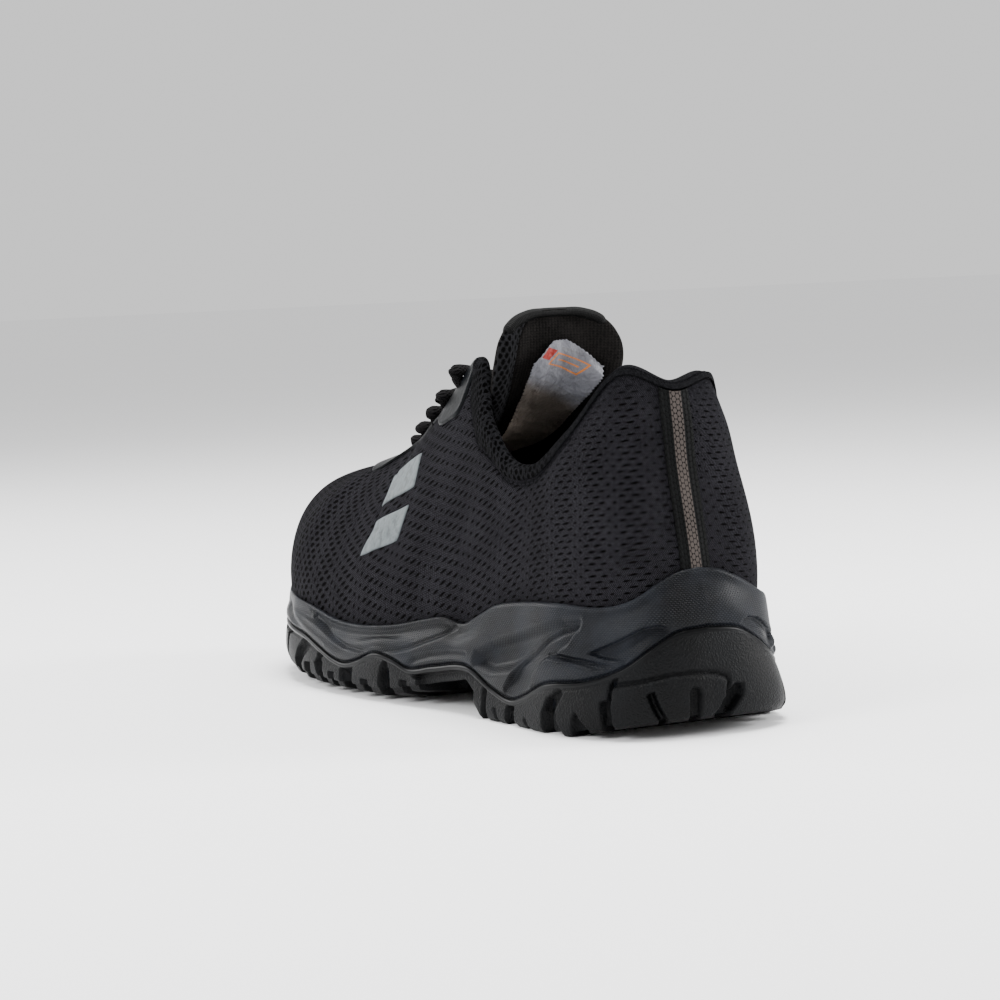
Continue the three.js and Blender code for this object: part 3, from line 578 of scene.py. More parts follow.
class Nodes:
    """Shader tree helpers: each call adds its nodes and returns the main output."""

    def __init__(self, tree: bpy.types.NodeTree) -> None:
        """Works in a material's or a group's tree."""
        self.tree = tree

    def node(self, kind: str, given: dict, out: str | int = 0, **settings: object) -> Socket:
        """Adds one node.

        Args:
            kind: its type, without the prefix ShaderNode.
            given: a number, colour or socket for each input, by name or place.
            out: the output to return.
            settings: values for the node's own properties.

        Returns:
            The chosen output.
        """
        node = self.tree.nodes.new(f"ShaderNode{kind}")
        for name, value in settings.items():
            setattr(node, name, value)
        for key, value in given.items():
            if isinstance(value, Socket):
                self.tree.links.new(value, node.inputs[key])
            else:
                node.inputs[key].default_value = value
        return node.outputs[out]

    def math(self, operation: str, *values: object) -> Socket:
        """A Math node."""
        return self.node("Math", dict(enumerate(values)), operation=operation)

    def times(self, a: object, b: object) -> Socket:
        """Product of two values."""
        return self.math("MULTIPLY", a, b)

    def minus(self, a: object, b: object) -> Socket:
        """Difference of two values."""
        return self.math("SUBTRACT", a, b)

    def over(self, a: object, b: object) -> Socket:
        """Quotient of two values."""
        return self.math("DIVIDE", a, b)

    def size(self, value: object) -> Socket:
        """A value without its sign."""
        return self.math("ABSOLUTE", value)

    def part(self, value: object) -> Socket:
        """How far a value is past the middle of its unit step, -0.5 to 0.5."""
        return self.minus(self.math("FRACT", value), 0.5)

    def add(self, *terms: tuple[object, float]) -> Socket:
        """Sum of values, each times its weight."""
        total = 0.0
        for value, weight in terms:
            total = self.math("MULTIPLY_ADD", value, weight, total)
        return total

    def wave(self, value: object, pitch: float, phase: object = 0.0) -> Socket:
        """Sine of a value, with its pitch, from -1 to 1."""
        return self.math("SINE", self.math("MULTIPLY_ADD", value, FULL_TURN / pitch, phase))

    def ramp(self, *given: object) -> Socket:
        """A smooth Map Range: value, low, high, and what these two become, 0 and 1 where left out."""
        return self.node("MapRange", dict(enumerate(given)), interpolation_type="SMOOTHSTEP")

    def mix(self, factor: object, a: object, b: object) -> Socket:
        """A colour mix of a (factor 0) and b (factor 1)."""
        return self.node("Mix", {"Factor": factor, 6: a, 7: b}, 2, data_type="RGBA")

    def split(self, vector: object) -> tuple[Socket, Socket]:
        """First two parts of a vector."""
        first = self.node("SeparateXYZ", {0: vector})
        return first, first.node.outputs[1]

    def uv(self) -> Socket:
        """The piece's UV map."""
        return self.node("UVMap", {}, uv_map="cloth")

    def place(self) -> Socket:
        """Object coordinates, in metres."""
        return self.node("TexCoord", {}, "Object")

    def mark(self, name: str) -> Socket:
        """A value kept on the mesh's points."""
        return self.node("Attribute", {}, "Fac", attribute_name=name)

    def noise(self, where: object, scale: float, detail: float = 3.0, rough: float = 0.55) -> Socket:
        """A Noise texture's value."""
        return self.node("TexNoise", {"Vector": where, "Scale": scale, "Detail": detail, "Roughness": rough})

    def cells(self, where: object, scale: float) -> Socket:
        """A Voronoi texture's distance to the nearest cell point."""
        return self.node("TexVoronoi", {"Vector": where, "Scale": scale})

    def effect(self, effect: "Effect", **given: object) -> tuple[Socket, ...]:
        """Places a shared effect with its own values and returns all its outputs."""
        return tuple(self.node("Group", given, node_tree=effect.group()).node.outputs)

    def wear(self) -> tuple[Socket, ...]:
        """Cloud and speck of the shared uneven tone."""
        return self.effect(WEAR, Place=self.place())


class Effect:
    """A pattern that several finishes use, built once as a shader node group."""

    name = "effect"
    takes: dict[str, str] = {}
    gives: tuple[str, ...] = ()

    def group(self) -> bpy.types.NodeTree:
        """The group, made at its first use."""
        tree = bpy.data.node_groups.get(self.name)
        if tree is None:
            tree = bpy.data.node_groups.new(self.name, "ShaderNodeTree")
            for title, kind in self.takes.items():
                tree.interface.new_socket(name=title, in_out="INPUT", socket_type=f"NodeSocket{kind}")
            for title in self.gives:
                tree.interface.new_socket(name=title, in_out="OUTPUT", socket_type="NodeSocketFloat")
            entry, out = tree.nodes.new("NodeGroupInput"), tree.nodes.new("NodeGroupOutput")
            made = self.draw(Nodes(tree), *entry.outputs[:len(self.takes)])
            for socket, value in zip(out.inputs, made):
                tree.links.new(value, socket)
        return tree

    def draw(self, n: Nodes, *given: Socket) -> tuple[Socket, ...]:
        """Lays the nodes and returns one socket for each output."""
        raise NotImplementedError


class HoleLattice(Effect):
    """Staggered lens-shaped holes, one to each unit cell of the place."""

    name = "hole_lattice"
    takes = {"Place": "Vector", "Slant": "Float", "Long": "Float", "High": "Float"}
    gives = ("Hole", "Pillow", "Chain")

    def draw(self, n: Nodes, place: Socket, slant: Socket, long: Socket, high: Socket) -> tuple[Socket, ...]:
        """Every other row is shifted by half a cell. The distance to a cell's middle is (x / long)^2 plus
        |y - slant x| / high; a hole is where it is under 1, and the cloth swells between holes. Holes grow
        and shrink in bands three cells wide and lie a little uneven by a noise. Small loops run between."""
        a, b = n.split(place)
        shifted = n.math("MULTIPLY_ADD", n.math("FLOORED_MODULO", n.math("FLOOR", b), 2.0), 0.5, a)
        cell, rise = n.part(shifted), n.part(b)
        uneven = n.noise(place, 1.7, 2.0)
        size = n.ramp(n.wave(a, 3.0), -1.0, 0.7, 0.5, 1.15)
        lean = n.minus(n.add((rise, 1.0), (uneven, 0.24), (1.0, -0.12)), n.times(cell, slant))
        x = n.over(n.over(cell, long), size)
        far = n.math("ADD", n.times(x, x), n.size(n.over(lean, high)))
        loops = n.wave(shifted, 1 / 7, n.times(n.wave(b, 0.5), 0.8))
        return n.ramp(far, 1.1, 0.8), n.ramp(far, 0.8, 2.4), n.times(loops, n.wave(b, 1 / 3))


class Knit(Effect):
    """Fine knit: loops in columns and rows."""

    name = "fine_knit"
    takes = {"Place": "Vector", "Pitch": "Float"}
    gives = ("Height",)

    def draw(self, n: Nodes, place: Socket, pitch: Socket) -> tuple[Socket, ...]:
        """Ripples across and along, the second bent by the first so that its rows make chevrons."""
        a, b = n.split(place)
        turn = n.over(FULL_TURN, pitch)
        wale = n.math("COSINE", n.times(a, turn))
        row = n.math("SINE", n.add((n.times(b, turn), 1.25), (wale, 1.1)))
        return (n.add((wale, 0.3), (row, 0.3), (1.0, 0.5)),)


class Stitches(Effect):
    """One row of stitches beside a line: the thread and the furrow that it pulls."""

    name = "stitch_row"
    takes = {"Run": "Float", "Off": "Float", "Pitch": "Float"}
    gives = ("Thread", "Furrow")

    def draw(self, n: Nodes, run: Socket, off: Socket, pitch: Socket) -> tuple[Socket, ...]:
        """Thread where the way along is in the first seven tenths of a stitch and the way off is small."""
        step, off = n.size(n.part(n.over(run, pitch))), n.size(off)
        return n.times(n.ramp(step, 0.4, 0.3), n.ramp(off, 0.42, 0.22)), n.ramp(off, 1.3, 0.2)


class Wear(Effect):
    """Uneven tone from handling: broad soft clouds and a few pale specks."""

    name = "uneven_tone"
    takes = {"Place": "Vector"}
    gives = ("Cloud", "Speck")

    def draw(self, n: Nodes, place: Socket) -> tuple[Socket, ...]:
        """Clouds are a slow noise; specks are the few cell points whose own noise is highest."""
        cloud = n.ramp(n.noise(place, 55.0, 4.0, 0.6), 0.3, 0.72)
        near = n.ramp(n.cells(place, 170.0), 0.055, 0.025)
        return cloud, n.times(near, n.ramp(n.noise(place, 61.0, 1.0), 0.66, 0.7))


HOLES, KNIT, STITCHES, WEAR = HoleLattice(), Knit(), Stitches(), Wear()


# ---- finishes ----


def srgb(red: int, green: int, blue: int) -> Colour:
    """A screen colour as the linear colour that a shader takes."""
    parts = [c / 255 for c in (red, green, blue)]
    return tuple(c / 12.92 if c <= 0.04045 else ((c + 0.055) / 1.055) ** 2.4 for c in parts) + (1.0,)


@dataclass(frozen=True)
class Finish:
    """What a piece is made of: two tones, roughness, specular level, and the bump's depth in metres."""

    name: str = "plain"
    dark: Colour = srgb(1, 1, 1)
    light: Colour = srgb(1, 1, 1)
    rough: float = 0.95
    shine: float = 0.05
    depth: float = 0.0003
    strength: float = 0.9
    built: ClassVar[dict["Finish", bpy.types.Material]] = {}

    def material(self) -> bpy.types.Material:
        """The finish's material, made at its first use."""
        if self not in Finish.built:
            made = bpy.data.materials.new(self.name)
            made.use_nodes = True
            w = Nodes(made.node_tree)
            w.tree.nodes.clear()
            given = {"Roughness": self.rough, "Specular IOR Level": self.shine, **self.surface(w)}
            if "Height" in given:
                bump = {"Height": given.pop("Height"), "Distance": self.depth, "Strength": self.strength}
                given["Normal"] = w.node("Bump", bump)
            out = w.tree.nodes.new("ShaderNodeOutputMaterial")
            w.tree.links.new(w.node("BsdfPrincipled", given), out.inputs[0])
            Finish.built[self] = made
        return Finish.built[self]

    def tone(self, w: Nodes, factor: object) -> Socket:
        """Colour between the finish's dark (factor 0) and light (factor 1)."""
        return w.mix(factor, self.dark, self.light)

    def surface(self, w: Nodes) -> dict[str, object]:
        """Lays the nodes.

        Args:
            w: the material's tree.

        Returns:
            Values for the shader's sockets; Height goes to the bump.
        """
        raise NotImplementedError


@dataclass(frozen=True)
class Cloth(Finish):
    """Plain brushed knit for the insole."""

    name: str = "insole_knit"
    dark: Colour = srgb(12, 12, 13)
    light: Colour = srgb(38, 38, 40)

    def surface(self, w: Nodes) -> dict[str, object]:
        """Bump and colour follow the knit's height and a fibre noise; clouds shift the tone."""
        knit, = w.effect(KNIT, Place=w.uv(), Pitch=1.0)
        cloud, _ = w.wear()
        fibre = w.noise(w.place(), 1500.0, 3.0, 0.7)
        tone = w.ramp(w.add((knit, 0.5), (fibre, 0.8), (cloud, 0.3)), 0.25, 1.35)
        return {"Base Color": self.tone(w, tone), "Height": w.add((knit, 1.0), (fibre, 1.2))}


@dataclass(frozen=True)
class AirMesh(Finish):
    """Spacer mesh: fine knit with a staggered lattice of lens-shaped holes, one cell to one UV unit."""

    name: str = "air_mesh"
    light: Colour = srgb(58, 57, 62)
    rough: float = 0.65
    shine: float = 0.01
    depth: float = 0.0011
    strength: float = 1.0
    # painted shade: black in the holes and in the seam's furrow, for their depth
    hole: Colour = srgb(0, 0, 0)
    thread: Colour = srgb(34, 34, 37)
    speck: Colour = srgb(90, 90, 90)
    stitch: float = 2.8

    def surface(self, w: Nodes) -> dict[str, object]:
        """Colour and bump follow the lattice; the seam below the collar, left out where the stitch is 0,
        comes from its distance on the points. The holes and the seam's furrow are painted black as shade."""
        shape = {"Slant": w.mark("slant"), "Long": w.mark("hole_long"), "High": w.mark("hole_high")}
        hole, pillow, chain = w.effect(HOLES, Place=w.uv(), **shape)
        cloud, speck = w.wear()
        fleck = w.noise(w.place(), 1700.0, 1.0, 0.6)
        pit = w.times(hole, w.mark("open"))
        tone = w.add((chain, 0.6), (pillow, 0.1), (fleck, 0.9), (cloud, 0.12))
        cloth = self.tone(w, w.ramp(tone, 0.05, 1.5))
        height = w.add((chain, 0.22), (pillow, 0.15), (fleck, 0.35), (pit, -0.8))
        if self.stitch:
            line = {"Run": w.mark("seam_run"), "Off": w.mark("seam_off")}
            thread, furrow = w.effect(STITCHES, Pitch=self.stitch, **line)
            # painted shade in the furrow beside the stitches
            cloth = w.mix(thread, w.mix(w.times(furrow, 0.6), cloth, self.hole), self.thread)
            height = w.add((height, 1.0), (furrow, -0.35), (thread, 0.45))
        # painted shade in the holes, where they are open, then the pale specks
        cloth = w.mix(w.times(speck, 0.6), w.mix(pit, cloth, self.hole), self.speck)
        return {"Base Color": cloth, "Height": height}


@dataclass(frozen=True)
class Foam(Finish):
    """Moulded foam with a fine woven-looking grain."""

    name: str = "midsole_foam"
    dark: Colour = srgb(1, 1, 2)
    light: Colour = srgb(25, 28, 34)
    shine: float = 0.1
    depth: float = 0.00022
    speck: Colour = srgb(70, 70, 70)
    row: float = 0.62
    dash: float = 1.3

    def surface(self, w: Nodes) -> dict[str, object]:
        """Level dashes in patches: a ripple up the side times a slower one along it, staggered by rows."""
        along, up = w.split(w.uv())
        dash = w.wave(along, self.dash, w.times(w.math("FLOOR", w.over(up, self.row)), math.pi))
        patch = w.ramp(w.noise(w.place(), 38.0, 2.0), 0.38, 0.6, 0.35, 1.0)
        grain = w.times(w.times(w.ramp(w.wave(up, self.row), -0.6, 0.9), w.ramp(dash, -0.8, 0.6)), patch)
        cloud, speck = w.wear()
        colour = w.mix(w.times(speck, 0.5), self.tone(w, w.add((grain, 0.35), (cloud, 0.65))), self.speck)
        return {"Base Color": colour, "Roughness": w.ramp(cloud, 0.0, 1.0, 0.36, 0.46), "Height": grain}


@dataclass(frozen=True)
class Rubber(Finish):
    """Moulded rubber with a fine leather-like grain."""

    name: str = "outsole_rubber"
    light: Colour = srgb(8, 9, 11)
    shine: float = 0.09
    depth: float = 0.00022
    speck: Colour = srgb(60, 60, 60)

    def surface(self, w: Nodes) -> dict[str, object]:
        """Grain is the distance to the nearest cell point, mixed with a finer noise, left out of the lip."""
        pebble, fine = w.cells(w.place(), 1500.0), w.noise(w.place(), 2600.0, 2.0)
        cloud, speck = w.wear()
        lip = w.mark("lip")
        colour = w.mix(w.times(speck, 0.5), self.tone(w, w.add((cloud, 0.7), (pebble, 0.3))), self.speck)
        return {"Base Color": colour, "Roughness": w.add((cloud, 0.08), (lip, -0.14), (1.0, 0.44)),
                "Height": w.times(w.add((pebble, 1.0), (fine, 0.6)), w.minus(1.0, lip))}


@dataclass(frozen=True)
class Film(Finish):
    """Smooth heat-pressed film with a satin face."""

    name: str = "eyestay_film"
    dark: Colour = srgb(4, 5, 6)
    light: Colour = srgb(10, 13, 16)
    rough: float = 0.33
    depth: float = 0.00035
    strength: float = 0.5

    def surface(self, w: Nodes) -> dict[str, object]:
        """Slow tone shift, and a low ripple where the cloth shows through."""
        cloud, _ = w.wear()
        ripple = w.noise(w.place(), 420.0, 2.0)
        return {"Base Color": self.tone(w, w.add((cloud, 0.7), (ripple, 0.3))),
                "Height": w.add((cloud, 1.0), (ripple, 0.8))}


@dataclass(frozen=True)
class Print(Finish):
    """Pale reflective print: tiny glass beads in a film."""

    name: str = "pale_print"
    dark: Colour = srgb(56, 61, 63)
    light: Colour = srgb(86, 93, 95)
    rough: float = 0.5
    shine: float = 0.25
    depth: float = 0.0007
    strength: float = 0.6

    def surface(self, w: Nodes) -> dict[str, object]:
        """The cloth's holes press through faintly; beads give a fine sparkle of tone."""
        cloud, _ = w.wear()
        beads, dents = w.noise(w.place(), 2200.0, 1.0), w.noise(w.place(), 330.0, 2.0)
        tone = w.add((cloud, 0.3), (beads, 0.3), (w.ramp(dents, 0.35, 0.55), 0.5))
        return {"Base Color": self.tone(w, tone), "Height": w.add((dents, 1.0), (beads, 0.2))}


@dataclass(frozen=True)
class Webbing(Finish):
    """Woven tape: dark edges and a pale woven stripe down its middle."""

    name: str = "heel_tape"
    light: Colour = srgb(14, 15, 15)
    rough: float = 0.72
    shine: float = 0.06
    depth: float = 0.0004
    stripe: Colour = srgb(66, 60, 57)
    stripe_gap: Colour = srgb(8, 7, 7)
    shadow: Colour = (0.001, 0.001, 0.001, 1.0)
    half_stripe: float = 1.95
    seam: float = 4.3
    stitch: float = 2.4
    link: tuple[float, float] = (1.9, 1.3)

    def surface(self, w: Nodes) -> dict[str, object]:
        """Links are staggered lenses along the tape; the stripe is where the distance from its middle is
        small, and a row of stitches runs beside either edge."""
        along, across = w.split(w.uv())
        column = w.over(across, self.link[1])
        lens = w.part(w.add((w.over(along, self.link[0]), 1.0), (w.math("FLOOR", column), 0.5)))
        link = w.ramp(w.add((w.times(lens, lens), 1.0), (w.size(w.part(column)), 0.4)), 0.29, 0.19)
        off = w.size(across)
        pale = w.ramp(off, self.half_stripe + 0.1, self.half_stripe - 0.1)
        cloud, _ = w.wear()
        thread, furrow = w.effect(STITCHES, Run=along, Off=w.minus(off, self.seam), Pitch=self.stitch)
        dark = w.mix(w.times(furrow, 0.35), self.tone(w, w.add((link, 0.7), (cloud, 0.3))), self.shadow)
        light = w.mix(w.add((link, 0.85), (cloud, 0.15)), self.stripe_gap, self.stripe)
        return {"Base Color": w.mix(pale, w.mix(thread, dark, self.light), light),
                "Height": w.add((link, 1.0), (thread, 1.0), (furrow, -0.8))}


@dataclass(frozen=True)
class Cord(Finish):
    """Braided lace: crossed slanting ripples."""

    name: str = "lace_braid"
    dark: Colour = srgb(2, 2, 2)
    light: Colour = srgb(20, 19, 20)
    rough: float = 0.85
    shine: float = 0.07
    pitch: float = 1.5

    def surface(self, w: Nodes) -> dict[str, object]:
        """Two ripples at opposite slants, the higher one on top."""
        along, around = w.split(w.uv())
        one, two = (w.wave(w.math(way, along, around), self.pitch) for way in ("ADD", "SUBTRACT"))
        braid = w.math("MAXIMUM", one, two)
        fibre = w.noise(w.place(), 1800.0, 2.0)
        tone = w.ramp(w.add((braid, 0.7), (fibre, 0.6)), -0.3, 1.1)
        return {"Base Color": self.tone(w, tone), "Height": w.add((braid, 1.0), (fibre, 0.4))}


@dataclass(frozen=True)
class Satin(Finish):
    """Flat smooth woven tape, such as the tongue's binding."""

    name: str = "binding_tape"
    dark: Colour = srgb(3, 3, 3)
    light: Colour = srgb(10, 10, 10)
    rough: float = 0.6
    shine: float = 0.08
    depth: float = 0.00012
    strength: float = 0.7
    weave: float = 0.6

    def surface(self, w: Nodes) -> dict[str, object]:
        """A fine even rib across the tape with a slow tone shift."""
        along, across = w.split(w.uv())
        rib = w.add((w.wave(along, self.weave), 0.5), (w.wave(across, self.weave), 0.2))
        cloud, _ = w.wear()
        return {"Base Color": self.tone(w, w.add((cloud, 0.6), (rib, 0.3), (1.0, 0.2))), "Height": rib}


@dataclass(frozen=True)
class LabelCloth(Finish):
    """White satin care label: a small red block and a fine orange frame near its top, bare lines below,
    painted shade over its lower half, which the shoe shades, and a paler painted light near its lower end
    that offsets the shade inside the shoe. Boxes are x0, x1, y0, y1 in the label's millimetres."""

    name: str = "label_satin"
    rough: float = 0.42
    shine: float = 0.4
    depth: float = 0.0024
    strength: float = 0.8
    white: Colour = srgb(116, 117, 124)
    # painted shade: the grey-brown of the label's lower half, where the shoe shades it
    painted_shade: Colour = srgb(84, 77, 71)
    # painted light: a paler tone towards the label's lower end, to offset the shade inside the shoe
    back: Colour = srgb(196, 180, 166)
    red: Colour = srgb(150, 30, 18)
    orange: Colour = srgb(204, 120, 48)
    grey: Colour = srgb(110, 110, 114)
    block: Box = (0.4, 5.2, 4.2, 9.8)
    frame_out: Box = (6, 19, 5, 11.4)
    frame_in: Box = (6.6, 18.4, 5.6, 10.8)
    rule: Box = (8.4, 17, 7.8, 8.4)
    lines: tuple[Box, ...] = ((-20, 40, 18.4, 18.9), (6, 13, 1.8, 2.9))
    # spans down the label, in millimetres, over which the painted shade and then the paler painted light come
    # in
    painted_shade_span: tuple[float, float] = (17.68, 24.48)
    painted_light_span: tuple[float, float] = (28.56, 51.0)

    def box(self, w: Nodes, x: object, y: object, corners: Box) -> Socket:
        """Mask of an upright box: 1 inside it, with edges 0.2 mm soft."""
        x0, x1, y0, y1 = corners
        sides = [w.ramp(at, edge - soft, edge + soft)
                 for at, edge, soft in ((x, x0, 0.1), (x, x1, -0.1), (y, y0, 0.1), (y, y1, -0.1))]
        return w.times(w.times(sides[0], sides[1]), w.times(sides[2], sides[3]))

    def surface(self, w: Nodes) -> dict[str, object]:
        """Painted shade down the label and paler painted light near its lower end, then the boxes; x across
        from its outer side, y down from its top.
        """
        x, y = w.split(w.uv())
        # painted shade over the lower half, then painted light towards the lower end
        colour = w.mix(w.ramp(y, *self.painted_shade_span), self.white, self.painted_shade)
        colour = w.mix(w.ramp(y, *self.painted_light_span), colour, self.back)
        block, rule, outer, inner, *lines = (
            self.box(w, x, y, b) for b in (self.block, self.rule, self.frame_out, self.frame_in, *self.lines))
        for mask, tone in ((block, self.red), (w.minus(outer, inner), self.orange), (rule, self.orange),
                           (w.math("ADD", *lines), self.grey)):
            colour = w.mix(mask, colour, tone)
        cloud, _ = w.wear()
        weave = w.times(w.wave(x, 0.5), w.wave(y, 0.5))
        crease = w.noise(w.place(), 190.0, 3.0, 0.6)
        # clouds also pull the tone a little towards the painted shade colour, at random
        return {"Base Color": w.mix(w.times(cloud, 0.15), colour, self.painted_shade),
                "Height": w.add((weave, 0.02), (crease, 1.0))}


@dataclass(frozen=True)
class Fleece(Finish):
    """Tongue lining: brushed fleece, and a strip of holed mesh along its outer side, joined by a seam."""

    name: str = "tongue_fleece"
    dark: Colour = srgb(4, 4, 4)
    light: Colour = srgb(32, 30, 29)
    depth: float = 0.0007
    mesh_light: Colour = srgb(34, 34, 36)
    # painted shade: near black in the strip's holes and in the seam's furrow, for their depth
    hole: Colour = srgb(1, 1, 1)
    cell: tuple[float, float] = (2.6, 1.9)
    knit: float = 1.2
    stitch: float = 2.6

    def surface(self, w: Nodes) -> dict[str, object]:
        """The strip's share is kept on the points; the seam follows the way off it. The strip's holes and the
        seam's furrow are painted near black as shade.
        """
        where = w.uv()
        scale = (1 / self.cell[0], 1 / self.cell[1], 1.0)
        scaled = w.node("Mapping", {"Vector": where, "Scale": scale})
        hole, pillow, _ = w.effect(HOLES, Place=scaled, Slant=0.2, Long=0.26, High=0.36)
        knit, = w.effect(KNIT, Place=where, Pitch=self.knit)
        fibre = w.noise(w.place(), 1300.0, 3.0, 0.7)
        cloud, _ = w.wear()
        strip = w.mark("strip")
        seam = {"Run": w.split(where)[1], "Off": w.mark("seam_off"), "Pitch": self.stitch}
        thread, furrow = w.effect(STITCHES, **seam)
        fleece = self.tone(w, w.ramp(w.add((knit, 0.35), (fibre, 0.9), (cloud, 0.3)), 0.3, 1.3))
        mesh = w.mix(w.ramp(w.add((pillow, 0.4), (fibre, 0.7)), 0.2, 1.0), self.dark, self.mesh_light)
        # painted shade in the strip's holes
        cloth = w.mix(strip, fleece, w.mix(hole, mesh, self.hole))
        # painted shade in the furrow beside the stitches
        colour = w.mix(thread, w.mix(w.times(furrow, 0.5), cloth, self.hole), self.mesh_light)
        sunk = w.times(w.add((pillow, 0.3), (hole, -0.7)), strip)
        height = w.add((sunk, 1.0), (knit, 0.15), (fibre, 0.4), (furrow, -0.5), (thread, 0.5))
        return {"Base Color": colour, "Height": height}


@dataclass(frozen=True)
class Floor(Finish):
    """Plain pale studio floor."""

    name: str = "studio_floor"
    dark: Colour = (0.93, 0.93, 0.935, 1.0)
    light: Colour = (0.95, 0.95, 0.955, 1.0)
    rough: float = 0.9
    shine: float = 0.0

    def surface(self, w: Nodes) -> dict[str, object]:
        """Two near pale tones in slow clouds."""
        return {"Base Color": self.tone(w, w.noise(w.place(), 3.0))}


# ---- studio ----


@dataclass
class Studio:
    """Camera at the view of the picture, pale floor and soft lamps."""

    azimuth: float = -25.5
    elevation: float = 4.4
    roll: float = -2.7
    distance: float = 1.0
    focal_px: float = 2800.0
    target_px: tuple[float, float] = (525.6, 552.2)
    target: tuple[float, float, float] = (0.0, 0.085, 0.05)
    image: int = 1000
    sensor: float = 36.0
    clip: tuple[float, float] = (0.05, 60.0)
    sky: float = 0.95
    floor_rings: tuple[float, ...] = (0.001, 0.3, 0.8, 2.0, 5.0, 12.0, 30.0)
    floor_middle: tuple[float, float, float] = (0, 130, -0.05)
    lamps: tuple[tuple, ...] = (
        ("lamp_key", (-1.2, -0.2, 0.8), 0.6, 16.0),
        ("lamp_side", (1.1, -0.45, 0.5), 0.5, 20.0),
        ("lamp_top", (0.1, 0.1, 1.3), 0.7, 36.0),
        ("lamp_toe", (-0.7, 1.2, 0.6), 0.6, 10.0),
    )

    def camera(self) -> None:
        """The camera: it looks along the azimuth and elevation, rolled, and has the target at target_px."""
        az, el, roll = (math.radians(a) for a in (self.azimuth, self.elevation, self.roll))
        back = Vector((math.sin(az) * math.cos(el), -math.cos(az) * math.cos(el), math.sin(el)))
        right = (-back).cross(Vector((0, 0, 1))).normalized()
        up = right.cross(-back)
        side = math.cos(roll) * right + math.sin(roll) * up
        rise = -math.sin(roll) * right + math.cos(roll) * up
        dx, dy = (t - self.image / 2 for t in self.target_px)
        shift = self.distance / self.focal_px
        at = Vector(self.target) + back * self.distance + (rise * dy - side * dx) * shift
        data = bpy.data.cameras.new("camera")
        data.sensor_width = self.sensor
        data.lens = self.focal_px * self.sensor / self.image
        data.clip_start, data.clip_end = self.clip
        camera = bpy.data.objects.new("camera", data)
        turn = Matrix((side, rise, back)).transposed().to_4x4()
        camera.matrix_world = Matrix.Translation(at) @ turn
        bpy.context.scene.collection.objects.link(camera)
        bpy.context.scene.camera = camera

    def lamp(self, name: str, at: tuple[float, float, float], size: float, power: float) -> None:
        """A square area lamp that faces the middle of the shoe."""
        data = bpy.data.lights.new(name, "AREA")
        data.shape, data.size, data.energy = "SQUARE", size, power
        lamp = bpy.data.objects.new(name, data)
        lamp.location = at
        lamp.rotation_mode = "QUATERNION"
        lamp.rotation_quaternion = (Vector(self.target) - Vector(at)).to_track_quat("-Z", "Y")
        bpy.context.scene.collection.objects.link(lamp)

    def floor(self) -> None:
        """A wide pale disc under the sole: rings of points, dense near the shoe."""
        a = np.linspace(0, FULL_TURN, 64, endpoint=False)
        ring = np.stack([np.cos(a), np.sin(a), np.zeros_like(a)], -1)
        points = np.array(self.floor_rings)[:, None, None] / MM * ring + np.array(self.floor_middle)
        piece = Grid(points, wrap_cols=True).build("floor", flip=False)
        piece.data.materials.append(Floor().material())

    def build(self) -> None:
        """Camera, lamps, sky and floor."""
        self.camera()
        for lamp in self.lamps:
            self.lamp(*lamp)
        world = bpy.context.scene.world = bpy.data.worlds.new("studio")
        world.use_nodes = True
        sky = world.node_tree.nodes["Background"].inputs
        sky["Color"].default_value, sky["Strength"].default_value = (1, 1, 1, 1), self.sky
        self.floor()


# ---- upper ----


